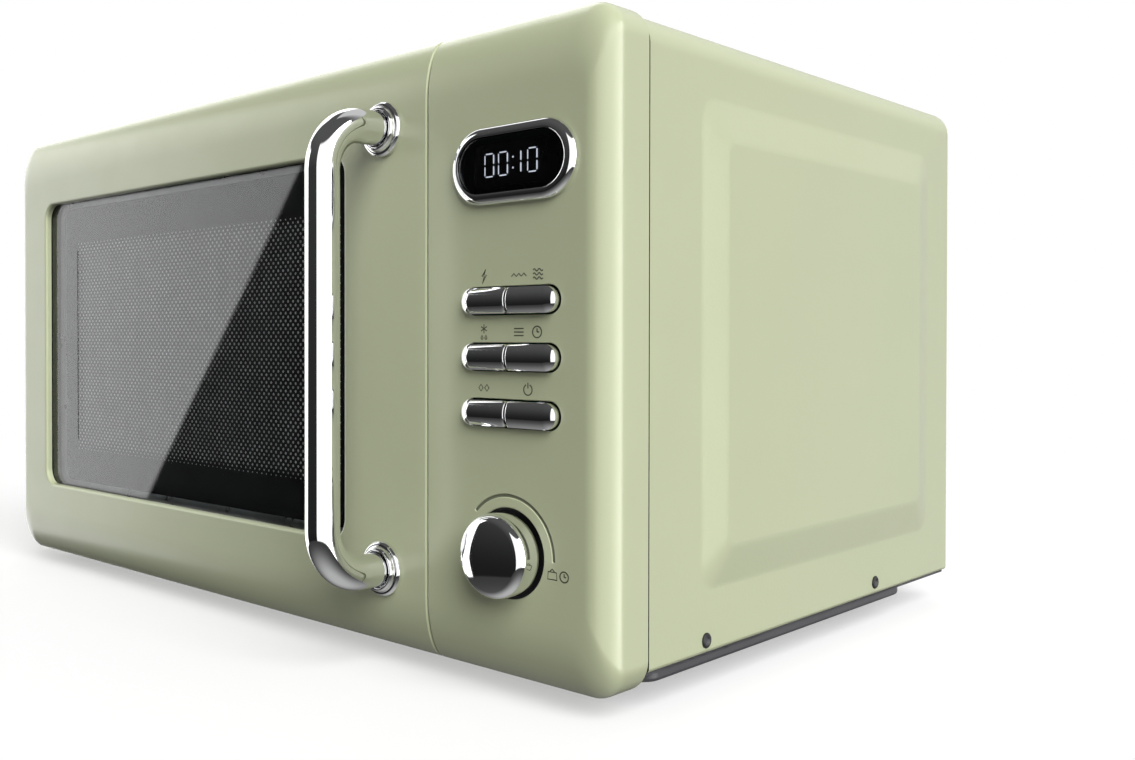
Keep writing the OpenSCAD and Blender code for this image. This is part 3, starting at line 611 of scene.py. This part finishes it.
def build_handle():
    """Bent chrome tube and the two stepped plates at its ends."""
    low, high = corners("handle_tube")
    x = (low[0] + high[0]) / 2
    r = (high[0] - low[0]) / 2
    out = low[1] + r
    half = (high[2] - low[2]) / 2 - r
    z_mid = (low[2] + high[2]) / 2
    bend = 20
    line = [(high[1], half)] + arc(out + bend, half - bend, bend, 90, 180, 20)
    line += [(y, -z) for y, z in reversed(line)]
    rows = []
    for i, (y, z) in enumerate(line):
        before, after = line[max(i - 1, 0)], line[min(i + 1, len(line) - 1)]
        along = Vector((after[0] - before[0], after[1] - before[1])).normalized()
        across = Vector((-along.y, along.x))
        loop = circle(0, 0, r, 56)
        rows.append([(x + a, y + b * across.x, z_mid + z + b * across.y) for a, b in loop])
    shell = Shell()
    shell.loft(rows)
    shell.piece("door_handle", "door", LOOKS["chrome"], ["handle_tube"])

    low, high = corners("handle_rosettes")
    plate_r = (high[0] - low[0]) / 2
    steps = [
        (plate_r, 0), (plate_r, -1.5), (plate_r - 0.9, -2.5), (plate_r - 1.9, -2.5),
        (plate_r - 2.3, -3.9), (plate_r - 2.9, -4.5), (plate_r - 3.6, -4.5),
        (r + 0.1, -3.2), (r - 1, -3.2),
    ]
    shell = Shell()
    for z in (low[2] + plate_r, high[2] - plate_r):
        turned(shell, rounded_profile(steps, 0.35), (x, 0, z))
    shell.piece("handle_plates", "door", LOOKS["chrome"], ["handle_rosettes"])


# ---- control panel ----


def pill_hole(z, w, h, r=0.4, x=KEYS_X):
    """A pill-shaped hole in the panel with a rounded rim of radius r."""

    def outline(offset):
        return pill(x, z, w + 2 * offset, h + 2 * offset)

    return outline, quarter(r, 3) + [(0, WALL)]


def turn_groove(offset):
    """Outline of the engraved arc round the knob."""
    half, mid, end = 0.65 + offset, KNOB_R + 5.9, 137
    reach = math.radians(end)
    outer = arc(KNOB_X, KNOB_Z, mid + half, 0, end, 48)
    inner = arc(KNOB_X, KNOB_Z, mid - half, end, 0, 48)
    high = (KNOB_X + mid * math.cos(reach), KNOB_Z + mid * math.sin(reach))
    high_cap = arc(*high, half, end, end + 180, 8)[1:-1]
    low_cap = arc(KNOB_X + mid, KNOB_Z, half, 180, 360, 8)[1:-1]
    return outer + high_cap + inner + low_cap


def knob_hole(offset):
    return circle(KNOB_X, KNOB_Z, WELL_R + offset)


def build_panel():
    """Moulded control panel with its holes and the engraved arc."""
    gap = 0.5
    holes = [pill_hole(z, KEY_W + 2 * gap, KEY_H + 2 * gap) for z in KEY_ROWS]
    holes.append(pill_hole(DISPLAY_Z, BEZEL_W - 4, BEZEL_H - 4, x=DISPLAY_X))
    holes.append((knob_hole, quarter(0.6, 4) + [(0, WALL)]))
    shell = Shell()
    groove = [(turn_groove, quarter(0.25, 3) + [(-0.1, 0.35), (-0.3, 0.45)])]
    front_shell(shell, 1, PANEL_LOW[0], PANEL_HIGH[1], 0.6, holes, groove)
    looks = [LOOKS["sage_plastic"], LOOKS["sage_painted_shade"], LOOKS["groove_painted_shade"]]
    shell.piece("panel_front", "root", looks, ["control_panel"])


def build_display():
    """Crowned chrome frame, dark window and lit digits."""

    def ring(offset):
        return pill(DISPLAY_X, DISPLAY_Z, BEZEL_W + 2 * offset, BEZEL_H + 2 * offset, 40)

    def lens_outline(offset):
        return pill(DISPLAY_X, DISPLAY_Z, LENS_W + 2 * offset, LENS_H + 2 * offset, 40)

    inner = (LENS_W + 0.1 - BEZEL_W) / 2
    top = BEZEL_LOW[1]
    wide, deep = -inner - 0.35, 2.7
    turns = [math.pi / 2 * i / 12 for i in range(13)]
    crown = [(-wide * (1 - math.cos(t)), top + deep * (1 - math.sin(t))) for t in turns]
    profile = [(0, 0.02)] + crown + [
        (inner + 0.1, top + 0.15), (inner, top + 0.5), (inner, 1.2),
        (-2.3, 1.2), (-2.3, 0.02), (0, 0.02),
    ]
    shell = Shell()
    rim(shell, ring, profile)
    shell.piece("display_frame", "root", LOOKS["chrome"], ["display_bezel"])

    lens = Shell()
    front = LENS_LOW[1]
    dome = [(-0.05, LENS_HIGH[1]), (-0.05, front + 0.5), (-0.2, front + 0.2)]
    dome += [(-0.6, front + 0.05), (-1.4, front)]
    lens.loft([at_depth(lens_outline(offset), y) for offset, y in dome])
    lens.piece("display_window", "root", LOOKS["display_lens"], ["display_lens"])
    build_digits()


SEGMENTS = {
    "top": (0, 1, True), "middle": (0, 0, True), "bottom": (0, -1, True),
    "upper_left": (-0.5, 0.5, False), "upper_right": (0.5, 0.5, False),
    "lower_left": (-0.5, -0.5, False), "lower_right": (0.5, -0.5, False),
}
LIT = {0: set(SEGMENTS) - {"middle"}, 1: {"upper_right", "lower_right"}}


def build_digits():
    """A clock reading in seven-segment digits."""
    seg = 4.3
    half_t = 0.24
    gap = 0.38
    low, _ = corners("display_module")
    y = low[1] - 0.05
    shell = Shell()
    for digit, x in ((0, -10.9), (0, -4.1), (1, 2.4), (0, 10)):
        for name in sorted(LIT[digit]):
            sx, sz, level = SEGMENTS[name]
            reach = seg / 2 - gap
            tip = [(-reach, 0), (-reach + half_t, half_t), (reach - half_t, half_t), (reach, 0)]
            tip += [(reach - half_t, -half_t), (-reach + half_t, -half_t)]
            centre = (DISPLAY_X + x + sx * seg, DISPLAY_Z + sz * seg)
            loop = [(centre[0] + (a if level else b), centre[1] + (b if level else a)) for a, b in tip]
            shell.loft([at_depth(loop, y), at_depth(loop, y + 0.2)])
    for z in (-2, 2):
        loop = circle(DISPLAY_X + 0.8, DISPLAY_Z + z, 0.38, 12)
        shell.loft([at_depth(loop, y), at_depth(loop, y + 0.2)])
    shell.piece("clock_digits", "root", LOOKS["display_white"])


def key_rows(side, from_split, inset):
    """Paths over half a key: from the split along the top, round the end and back."""
    half_h = KEY_H / 2 - inset
    reach = (KEY_W - KEY_H) / 2
    rows = []
    crown_r = 7.7
    centre = crown_r - KEY_OUT
    for i in range(10):
        r = half_h * math.sin(math.pi / 2 * i / 9)
        y = centre - math.sqrt(crown_r ** 2 - r ** 2)
        rows.append((r, y + inset * 0.4))
    edge = rows[-1][1]
    rows += [(half_h, edge + 0.25), (half_h, 1.8)]
    paths = []
    for r, y in rows:
        turn = [(reach + a, b) for a, b in arc(0, 0, r, 90, -90, 24)]
        path = [(from_split, r)] + turn + [(from_split, -r)]
        paths.append([(KEYS_X + side * a, y, b) for a, b in path])
    return paths


def build_keys():
    """Six crowned half-pill keys. Each left key has the rounder inner end."""
    names = [
        ("key_power_level", 0, -1), ("key_grill", 0, 1), ("key_defrost", 1, -1),
        ("key_clock", 1, 1), ("key_stop", 2, -1), ("key_start", 2, 1),
    ]
    split = 0.5
    for name, row, side in names:
        fillet = 1.3 if side < 0 else 0.5
        shell = Shell()
        z = KEY_ROWS[row]
        columns = []
        for i in range(5):
            turn = math.pi / 2 * i / 4
            from_split = split + fillet * (1 - math.sin(turn))
            paths = key_rows(side, from_split, fillet * (1 - math.cos(turn)))
            if i == 0:
                body = paths
            line = [path[0] for path in reversed(paths)] + [path[-1] for path in paths]
            columns.append([(a, b, c + z) for a, b, c in line])
        body = [[(a, b, c + z) for a, b, c in path] for path in body]
        shell.strip(body)
        shell.strip(columns)
        low_rim = [column[-1] for column in columns[1:]]
        top_rim = [column[0] for column in reversed(columns[1:])]
        shell.fill(body[-1] + low_rim + top_rim)
        # painted shade: each key's flat split end is dark, for the shadow in the gap between the keys
        shell.paint = PAINTED_SHADE
        shell.fill(columns[-1])
        looks = [LOOKS["chrome"], LOOKS["black_plastic"]]
        shell.piece(name + "_cap", name, looks, [name])


def build_knob():
    """Crowned chrome knob with a rounded shoulder, in its black well."""
    front = corners("knob")[0][1]
    crown_r, edge_r = 55, 4
    edge_x = KNOB_R - edge_r
    tilt = math.asin(edge_x / (crown_r - edge_r))
    crown_at = front + crown_r
    edge_at = crown_at - (crown_r - edge_r) * math.cos(tilt)
    turns = [tilt * i / 12 for i in range(12)]
    crown = [(crown_r * math.sin(t), crown_at - crown_r * math.cos(t)) for t in turns]
    turns = [tilt + (math.pi / 2 - tilt) * i / 16 for i in range(17)]
    shoulder = [(edge_x + edge_r * math.sin(t), edge_at - edge_r * math.cos(t)) for t in turns]
    skirt = [(KNOB_R, -0.4), (KNOB_R - 1.6, -0.2), (KNOB_R - 1.6, 0.6), (0, 0.6)]
    shell = Shell()
    turned(shell, crown + shoulder + skirt, (KNOB_X, 0, KNOB_Z), steps=128)
    shell.piece("dial_cap", "knob", LOOKS["chrome"], ["knob"])

    outer = WELL_R - 0.05
    bore, lip = 4.6, outer - 0.8
    well = [(bore, 2.6), (outer, 2.6), (outer, 1.0), (lip, 1.0), (lip, 1.9), (bore, 1.9)]
    ring = Shell()
    rows = [at_depth(circle(KNOB_X, KNOB_Z, r), y) for r, y in well + [well[0]]]
    ring.strip(rows, closed=True)
    ring.piece("dial_well", "root", LOOKS["black_plastic"], ["knob_ring"])


# ---- printed marks ----


def stroke(shell, points, width=0.42, closed=False):
    """A printed line a few hundredths of a millimetre proud of the face."""
    count = len(points)
    left, right = [], []
    for i, p in enumerate(points):
        before = points[(i - 1) % count] if closed or i else points[0]
        after = points[(i + 1) % count] if closed or i < count - 1 else points[-1]
        along = Vector((after[0] - before[0], after[1] - before[1])).normalized()
        across = Vector((-along.y, along.x)) * width * 0.6
        left.append((p[0] + across.x, p[1] + across.y))
        right.append((p[0] - across.x, p[1] - across.y))
    proud = -0.05
    ridge = ((left, 0), (left, proud), (right, proud), (right, 0), (left, 0))
    rows = [[(a[0], y, a[1]) for a in edge] for edge, y in ridge]
    if closed:
        rows = [row + [row[0]] for row in rows]
    shell.strip(rows)
    if not closed:
        for end in (0, -1):
            shell.face([rows[i][end] for i in range(4)])


def wave(x, z, w, crests, height, steps=32):
    turns = [i / steps for i in range(steps + 1)]
    return [(x + w * (t - 0.5), z + height * math.sin(2 * math.pi * crests * t)) for t in turns]


def clock_face(shell, x, z, r):
    stroke(shell, circle(x, z, r, 28), closed=True)
    stroke(shell, [(x, z + 0.62 * r), (x, z)])
    stroke(shell, [(x, z), (x + 0.45 * r, z)])


def snowflake(shell, x, z, r):
    for turn in range(0, 180, 60):
        a, b = r * math.cos(math.radians(turn + 30)), r * math.sin(math.radians(turn + 30))
        stroke(shell, [(x - a, z - b), (x + a, z + b)], 0.36)


def drop(shell, x, z, r):
    tip = [(x, z + 2.1 * r)] + arc(x, z, r, 30, -210, 12)
    stroke(shell, tip, 0.34, closed=True)


def build_marks():
    """Generic symbols above the keys and beside the knob."""
    shell = Shell()
    above = 9.4
    first, second, third = [z + above for z in KEY_ROWS]
    left, right_a, right_b = KEYS_X - 13.4, KEYS_X + 3.9, KEYS_X + 13.0
    bolt = [(0.9, 2.6), (-1.1, 0.1), (0.2, 0.1), (-0.8, -2.6), (1.3, 0.6), (-0.1, 0.6)]
    stroke(shell, [(left + a, first + b) for a, b in bolt], 0.36, closed=True)
    zigzag = [(right_a + 1.2 * (i - 3), first + (0.55 if i % 2 else -0.55)) for i in range(7)]
    stroke(shell, zigzag, 0.4)
    for level in (-1.5, 0, 1.5):
        stroke(shell, wave(right_b, first + level, 4.6, 2, 0.42), 0.38)
    snowflake(shell, left, second + 1.3, 1.7)
    drop(shell, left - 1.0, second - 2.2, 0.5)
    drop(shell, left + 1.0, second - 2.2, 0.5)
    for level in (-1.3, 0, 1.3):
        stroke(shell, [(right_a - 2.3, second + level), (right_a + 2.3, second + level)], 0.4)
    clock_face(shell, right_b - 0.4, second, 2.1)
    for side in (-1, 1):
        x = left + side * 1.5
        diamond = [(x - 1.1, third), (x, third + 1.3), (x + 1.1, third), (x, third - 1.3)]
        stroke(shell, diamond, 0.36, closed=True)
    power = arc(KEYS_X + 8.3, third - 0.1, 2.0, 115, 425, 26)
    stroke(shell, power, 0.42)
    stroke(shell, [(KEYS_X + 8.3, third + 0.4), (KEYS_X + 8.3, third + 2.5)], 0.42)
    # beside the knob
    bag_x, bag_z = KNOB_X + 21.2, KNOB_Z - 5.0
    bag = [(-2.1, -1.6), (2.1, -1.6), (1.9, 1.1), (-1.9, 1.1)]
    stroke(shell, [(bag_x + a, bag_z + b) for a, b in bag], 0.36, closed=True)
    stroke(shell, [(bag_x - 1, bag_z + 1.3), (bag_x, bag_z + 2.2), (bag_x + 1, bag_z + 1.3)], 0.36)
    clock_face(shell, bag_x + 5.4, bag_z, 1.9)
    shell.piece("panel_marks", "root", LOOKS["icon_print"])


# ---- cabinet ----

SHEET = 1.0
CABINET_HALF = corners("back_panel")[1][0] + SHEET + 0.15
CABINET_R = 13
FOLD_R = 2
FLANGE_X = 205
SCREW_HOLE_R = 1.9


def cabinet_ends(half, top, low, inset):
    """Flange and lower corner, and the round upper corner, on the right-hand side."""
    corner = arc(half - FOLD_R, low + FOLD_R, FOLD_R - inset, -90, 0, 5)
    lower = [(FLANGE_X, low + inset)] + corner
    upper = arc(half - CABINET_R, top - CABINET_R, CABINET_R - inset, 0, 90, 16)
    return lower, upper


def emboss_rows(side, x, inset):
    """Loops up the bevel of the raised side panel, rounded over a short share of each end."""
    low, high = CABINET_LOW[2] + 24, CABINET_HIGH[2] - 26
    front, back = 60, 275
    across, up = (front + back) / 2, (low + high) / 2
    bevel = 17.5
    blend = 0.09
    steps = 14
    height = CABINET_HIGH[0] - x - inset
    rows = []
    for i in range(steps + 1):
        t = i / steps
        if t < blend:
            rise = t * t / (2 * blend * (1 - blend))
        elif t > 1 - blend:
            rise = 1 - (1 - t) ** 2 / (2 * blend * (1 - blend))
        else:
            rise = (t - blend / 2) / (1 - blend)
        d = bevel * t
        w, h = back - front - 2 * d, high - low - 2 * d
        loop = rounded_rect(across, up, w, h, 10 - 5 * t, 6)
        rows.append([(side * (x + height * rise), y, z) for y, z in loop])
    return rows


def build_cabinet():
    """Sheet steel cover with raised side panels. Its front rim is painted dark as painted shade, for the
    shadow in the gap behind the front.
    """
    low, top = CABINET_LOW[2], CABINET_HIGH[2]
    front, rear = CABINET_LOW[1], CABINET_HIGH[1]
    half = CABINET_HALF
    screws = sorted({(round(p[0], 2), round(p[1], 2)) for p in screw_spots()})
    shell = Shell()
    skins = []
    for inset in (0, SHEET):
        lower, upper = cabinet_ends(half, top, low, inset)
        x = half - inset
        right_low = [(a, b) for a, b in lower]
        left_low = [(-a, b) for a, b in reversed(lower)]
        roof = upper + [(-a, b) for a, b in reversed(upper)]
        for line in (right_low, roof, left_low):
            shell.strip([[(a, y, b) for a, b in line] for y in (front, rear)])
        z_low, z_high = lower[-1][1], upper[0][1]
        for side in (-1, 1):
            rows = emboss_rows(side, x, inset)
            border = ((front, z_low), (rear, z_low), (rear, z_high), (front, z_high))
            border = [(side * x, y, z) for y, z in border]
            bores = [circle(y, z, SCREW_HOLE_R, 20) for y, z in screws]
            holes = [[(side * x, a, b) for a, b in bore] for bore in bores]
            shell.fill(border, rows[0], *holes)
            shell.strip(rows, closed=True)
            shell.fill(rows[-1])
        skins.append(right_low + roof + left_low)
    # painted shade: the front rim faces take the dark rubber look, for the shadow in the gap behind the
    # front
    for y, shell.paint in ((front, 1), (rear, 0)):
        shell.strip([[(a, y, b) for a, b in skin] for skin in skins])
    for end in (0, -1):
        (xa, za), (xb, zb) = skins[0][end], skins[1][end]
        shell.face([(xa, front, za), (xa, rear, za), (xb, rear, zb), (xb, front, zb)])
    for side in (-1, 1):
        for y, z in screws:
            bore = circle(y, z, SCREW_HOLE_R, 20)
            rows = [[(side * x, a, b) for a, b in bore] for x in (half, half - SHEET)]
            shell.strip(rows, closed=True)
    looks = [LOOKS["sage_enamel"], LOOKS["rubber"]]
    shell.piece("cabinet_wrap", "root", looks, ["outer_cabinet"])


def screw_spots():
    """Centres of the cabinet screws as (depth, height), read from the CAD node's own mesh."""
    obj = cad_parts["cabinet_screws"]
    points = [((v.co.y - FACE) / MM, v.co.z / MM) for v in obj.data.vertices if v.co.x > 0]
    split = sum(p[0] for p in points) / len(points)
    spots = []
    for group in ([p for p in points if p[0] < split], [p for p in points if p[0] >= split]):
        ys, zs = [p[0] for p in group], [p[1] for p in group]
        spots.append(((min(ys) + max(ys)) / 2, (min(zs) + max(zs)) / 2))
    return spots


def build_screws():
    """Round screw heads with a dished drive."""
    head = [(3.0, 0), (3.0, 0.35), (2.6, 0.8), (1.9, 0.9), (1.5, 0.6), (1.2, 0.2), (0, 0.2)]
    dish_rows = 10
    shell = Shell()
    for side in (-1, 1):
        for y, z in screw_spots():
            rows = []
            for r, out in rounded_profile(head, 0.15, 3):
                loop = circle(y, z, max(r, 0), 32)
                rows.append([(side * (CABINET_HALF + out), a, b) for a, b in loop])
            cut = len(rows) - dish_rows
            shell.strip(rows[: cut + 1], closed=True)
            shell.paint = 1
            shell.strip(rows[cut:], closed=True)
            shell.paint = 0
            shell.fill(rows[0])
    looks = [LOOKS["black_plastic"], LOOKS["dark_steel"]]
    shell.piece("cabinet_screw_heads", "root", looks, ["cabinet_screws"])


def build_feet():
    low, high = corners("feet")
    r = 12.5
    top = high[2]
    profile = [(0, 0), (9.2, 0), (10, 0.3), (10.9, 1.2), (r - 0.4, top - 1.2), (r, top), (0, top)]
    shell = Shell()
    for x in (low[0] + r, high[0] - r):
        for y in (low[1] + r, high[1] - r):
            turned(shell, rounded_profile(profile, 0.6), (x, y, 0), axis="z", steps=48)
    shell.piece("rubber_feet", "root", LOOKS["rubber"], ["feet"])


def build_skirt():
    """Dark pressed skirt round the base tray, just inside the cabinet's sides."""
    low, high = corners("base_plate")
    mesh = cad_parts["base_plate"].data
    floor = [v.co / MM for v in mesh.vertices if v.co.z / MM < low[2] + 0.5]
    pan_half, pan_front = max(p.x for p in floor), min(p.y for p in floor) - FACE / MM
    pan_rear = max(p.y for p in floor) - FACE / MM
    step, drop, edge_r, reach = high[0] - pan_half, 0.4, 1.8, 12
    bottom = low[2] - drop
    centre, depth = (pan_front + pan_rear + reach) / 2, pan_rear + reach - pan_front

    def outline(inset):
        r = max(9 - inset, 1)
        return rounded_rect(0, centre, 2 * (high[0] - inset), depth - 2 * inset, r)

    rows = [(0, high[2] - 0.1)]
    rows += [(inset, bottom + up) for inset, up in reversed(quarter(edge_r))]
    rows += [(step + 1.5, bottom), (step + 1.5, high[2] - 0.1)]
    shell = Shell()
    loops = [[(x, y, z) for x, y in outline(inset)] for inset, z in rows + [rows[0]]]
    shell.strip(loops, closed=True)
    shell.piece("base_skirt", "root", LOOKS["dark_steel"])


# ---- turntable ----


def build_turntable():
    low, high = corners("glass_turntable")
    r = (high[0] - low[0]) / 2
    centre = ((low[0] + high[0]) / 2, (low[1] + high[1]) / 2, low[2])
    profile = [
        (0, 0), (r - 16, 0), (r - 8, 2.5), (r - 0.4, 10), (r, 11), (r - 1.5, 11),
        (r - 3, 10.6), (r - 10, 6.0), (r - 17, 4.5), (0, 4.5),
    ]
    shell = Shell()
    turned(shell, rounded_profile(profile, 1.6, 5), centre, axis="z", steps=160)
    look = LOOKS["turntable_glass"]
    shell.piece("turntable_plate", "turntable", look, ["glass_turntable"])


# ---- the CAD nodes that stay ----

KEPT = {
    "base_plate": ("dark_steel", 0.6), "back_panel": ("back_steel", 0.4),
    "rear_spacers": ("black_plastic", 0.8), "cord_gland": ("black_plastic", 0.4),
    "oven_cavity": ("cavity_enamel", 0.0), "hinge_upper": ("galvanised", 0.25),
    "hinge_lower": ("galvanised", 0.25), "waveguide": ("galvanised", 0.3),
    "waveguide_cover": ("mica", 0.2), "grill_element": ("heater_tube", 0.0),
    "magnetron": ("galvanised", 0.0), "hv_transformer": ("iron_core", 0.6),
    "hv_capacitor": ("can_aluminium", 0.6), "hv_diode": ("black_plastic", 0.3),
    "fan_motor": ("galvanised", 0.5), "fan_duct": ("white_plastic", 0.5),
    "lamp_socket": ("white_plastic", 0.3), "lamp_bulb": ("lamp_glass", 0.0),
    "turntable_motor": ("galvanised", 0.5), "interlock_bracket": ("white_plastic", 0.4),
    "door_switches": ("black_plastic", 0.4), "display_module": ("display_black", 0.0),
    "control_board": ("circuit_board", 0.2), "key_switches": ("black_plastic", 0.2),
    "rotary_encoder": ("galvanised", 0.3), "mesh_screen": ("black_screen", 0.0),
    "inner_door_frame": ("galvanised", 0.3), "choke_cover": ("black_plastic", 0.4),
    "inner_film": ("clear_film", 0.2), "handle_screws": ("galvanised", 0.2),
    "hinge_bushes": ("white_plastic", 0.3), "latch_guides": ("black_plastic", 0.3),
    "latch_spring": ("galvanised", 0.0), "latch_hooks": ("white_plastic", 0.4),
    "turntable_coupler": ("white_plastic", 0.5), "roller_ring": ("white_plastic", 0.5),
    "roller_1": ("white_plastic", 0.3), "roller_2": ("white_plastic", 0.3),
    "roller_3": ("white_plastic", 0.3), "fan_blades": ("white_plastic", 0.0),
}


def dress(name, look, soften):
    """Gives a CAD node its finish, and softens its edges with modifiers."""
    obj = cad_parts[name]
    obj.data.materials.clear()
    obj.data.materials.append(LOOKS[look])
    weld = obj.modifiers.new("weld", "WELD")
    weld.merge_threshold = 0.00001
    if soften:
        bevel = obj.modifiers.new("soft_edges", "BEVEL")
        bevel.width = soften * MM
        bevel.segments = 3
        bevel.limit_method = "ANGLE"
        bevel.angle_limit = math.radians(40)
        bevel.harden_normals = False
    even_normals(obj)


# ---- stage ----


def build_camera():
    """Near the right front corner, a little under mid height, close enough for strong perspective."""
    data = bpy.data.cameras.new("camera")
    camera = bpy.data.objects.new("camera", data)
    bpy.context.scene.collection.objects.link(camera)
    data.sensor_width = 36
    data.lens = 36.634
    data.shift_x = 0.1476
    data.shift_y = -0.0264
    data.clip_start = 0.02
    turn_left = 46.093
    look_down = 0.586
    camera.location = (0.4611, -0.4656, 0.1377)
    camera.rotation_euler = [math.radians(a) for a in (90 - look_down, 0, turn_left)]
    bpy.context.scene.camera = camera


def build_floor():
    """Pale floor that only the camera sees, so that it doesn't tint the object. It glows white, more fully
    away from the object: painted light that lightens its cast shadow.
    """
    half = 12.0
    mesh = bpy.data.meshes.new("floor")
    spots = [(-half, -half, 0), (half, -half, 0), (half, half, 0), (-half, half, 0)]
    mesh.from_pydata(spots, [], [(0, 1, 2, 3)])
    floor = bpy.data.objects.new("floor", mesh)
    bpy.context.scene.collection.objects.link(floor)
    look = bpy.data.materials.new("pale_floor")
    look.use_nodes = True
    tree = look.node_tree
    tree.nodes.clear()
    place = node(tree, "ShaderNodeTexCoord").outputs["Object"]
    away = node(tree, "ShaderNodeVectorMath", {0: place}, operation="LENGTH").outputs["Value"]
    fade = node(
        tree, "ShaderNodeMapRange",
        {"Value": away, "From Min": 0.3, "From Max": 1.1, "To Min": 0.45, "To Max": 1.0},
        interpolation_type="SMOOTHSTEP",
    ).outputs["Result"]
    matt = node(tree, "ShaderNodeBsdfDiffuse", {"Color": (0.93, 0.93, 0.925, 1)})
    # painted light: the floor's own glow, mixed in by distance from the object, lightens its shadow
    painted_floor_light = node(tree, "ShaderNodeEmission", {"Color": (1, 1, 1, 1), "Strength": 1.0})
    mix = node(
        tree, "ShaderNodeMixShader", {0: fade, 1: matt.outputs["BSDF"], 2: painted_floor_light.outputs["Emission"]}
    )
    out = node(tree, "ShaderNodeOutputMaterial")
    tree.links.new(mix.outputs["Shader"], out.inputs["Surface"])
    mesh.materials.append(look)
    floor.visible_glossy = False
    floor.visible_transmission = False
    floor.visible_diffuse = False


def build_light():
    """A white studio with a dark screen at the front left and bright panels beside it."""
    world = bpy.data.worlds.new("studio")
    bpy.context.scene.world = world
    world.use_nodes = True
    tree = world.node_tree
    tree.nodes.clear()

    def calc(operation, a, b=0.0, c=0.0):
        return node(tree, "ShaderNodeMath", {0: a, 1: b, 2: c}, operation=operation).outputs[0]

    def ramp(value, low, high):
        inputs = {"Value": value, "From Min": low, "From Max": high}
        made = node(tree, "ShaderNodeMapRange", inputs, interpolation_type="SMOOTHSTEP")
        return made.outputs["Result"]

    def band(value, low, high, soft):
        return calc("MULTIPLY", ramp(value, low - soft, low + soft), ramp(value, high + soft, high - soft))

    way = node(tree, "ShaderNodeTexCoord").outputs["Generated"]
    parts = node(tree, "ShaderNodeSeparateXYZ", {0: way})
    x, y, z = (parts.outputs[i] for i in range(3))
    degrees = 180 / math.pi
    across = calc("MULTIPLY", calc("ARCTAN2", x, calc("MULTIPLY", y, -1.0)), degrees)
    up = calc("MULTIPLY", calc("ARCSINE", z), degrees)
    # what polished parts mirror: cards that stand on a grey floor, between two white panels
    ground = -22.0
    above = ramp(up, ground - 0.8, ground + 0.8)
    floor_grey = calc("MULTIPLY_ADD", ramp(up, ground, -80.0), 0.42, 0.045)
    card_grey = calc("MULTIPLY_ADD", ramp(up, ground, 60.0), 0.075, 0.012)
    behind = calc("MAXIMUM", ramp(across, 118.0, 150.0), ramp(across, -128.0, -150.0))
    card_grey = calc("MULTIPLY_ADD", behind, 0.5, card_grey)
    # the screen's left edge leans, so its reflection crosses the window at an angle
    slant = calc("MINIMUM", calc("MAXIMUM", up, -12.0), 10.0)
    lean = calc("SUBTRACT", across, calc("MULTIPLY_ADD", slant, 0.4636, -54.9))
    left = calc("MULTIPLY", ramp(lean, 0.15, -0.15), ramp(across, -146.0, -134.0))
    left = calc("MULTIPLY", left, ramp(up, 64.0, 56.0))
    left = calc("MULTIPLY", left, calc("MAXIMUM", ramp(up, 31.0, 25.0), ramp(across, -80.0, -92.0)))
    right = calc("MULTIPLY", band(across, 13.5, 122.0, 0.8), ramp(up, 46.0, 40.0))
    right_glow = calc("MULTIPLY_ADD", ramp(across, 66.0, 122.0), 4.4, 1.15)
    mirrored = calc("MULTIPLY_ADD", left, 1.9, card_grey)
    mirrored = calc("MULTIPLY_ADD", right, right_glow, mirrored)
    mirrored = calc("MULTIPLY", mirrored, above)
    mirrored = calc("MULTIPLY_ADD", calc("SUBTRACT", 1.0, above), floor_grey, mirrored)
    # soft fill light for the painted parts
    fill = calc("MULTIPLY_ADD", ramp(up, -30.0, 60.0), 0.18, 0.20)
    front = band(across, -50.0, 40.0, 20.0)
    fill = calc("MULTIPLY", fill, calc("MULTIPLY_ADD", front, -0.55, 1.0))
    fill = calc("MULTIPLY_ADD", ramp(across, -80.0, -130.0), 0.45, fill)
    path = node(tree, "ShaderNodeLightPath").outputs
    strength = calc("MULTIPLY", mirrored, calc("SUBTRACT", 1.0, path["Is Diffuse Ray"]))
    strength = calc("MULTIPLY_ADD", fill, path["Is Diffuse Ray"], strength)
    seen = path["Is Camera Ray"]
    strength = calc("MULTIPLY_ADD", strength, calc("SUBTRACT", 1.0, seen), seen)
    shine = node(tree, "ShaderNodeBackground", {"Color": (1, 1, 1, 1), "Strength": strength})
    out = node(tree, "ShaderNodeOutputWorld")
    tree.links.new(shine.outputs["Background"], out.inputs["Surface"])
    bpy.context.scene.view_settings.view_transform = "Standard"

    key = bpy.data.lights.new("key", "SUN")
    key.energy = 3.85
    key.angle = math.radians(50)
    sun = bpy.data.objects.new("key", key)
    bpy.context.scene.collection.objects.link(sun)
    side, high = math.radians(63), math.radians(38)
    level = math.cos(high)
    towards = Vector((math.sin(side) * level, -math.cos(side) * level, math.sin(high)))
    sun.rotation_euler = towards.to_track_quat("Z", "Y").to_euler()
    sun.visible_glossy = False


build_camera()
build_light()
build_floor()
build_door()
build_window()
build_mesh_screen()
build_handle()
build_panel()
build_display()
build_keys()
build_knob()
build_marks()
build_cabinet()
build_screws()
build_feet()
build_skirt()
build_turntable()
for part, (look_name, edge) in KEPT.items():
    dress(part, look_name, edge)
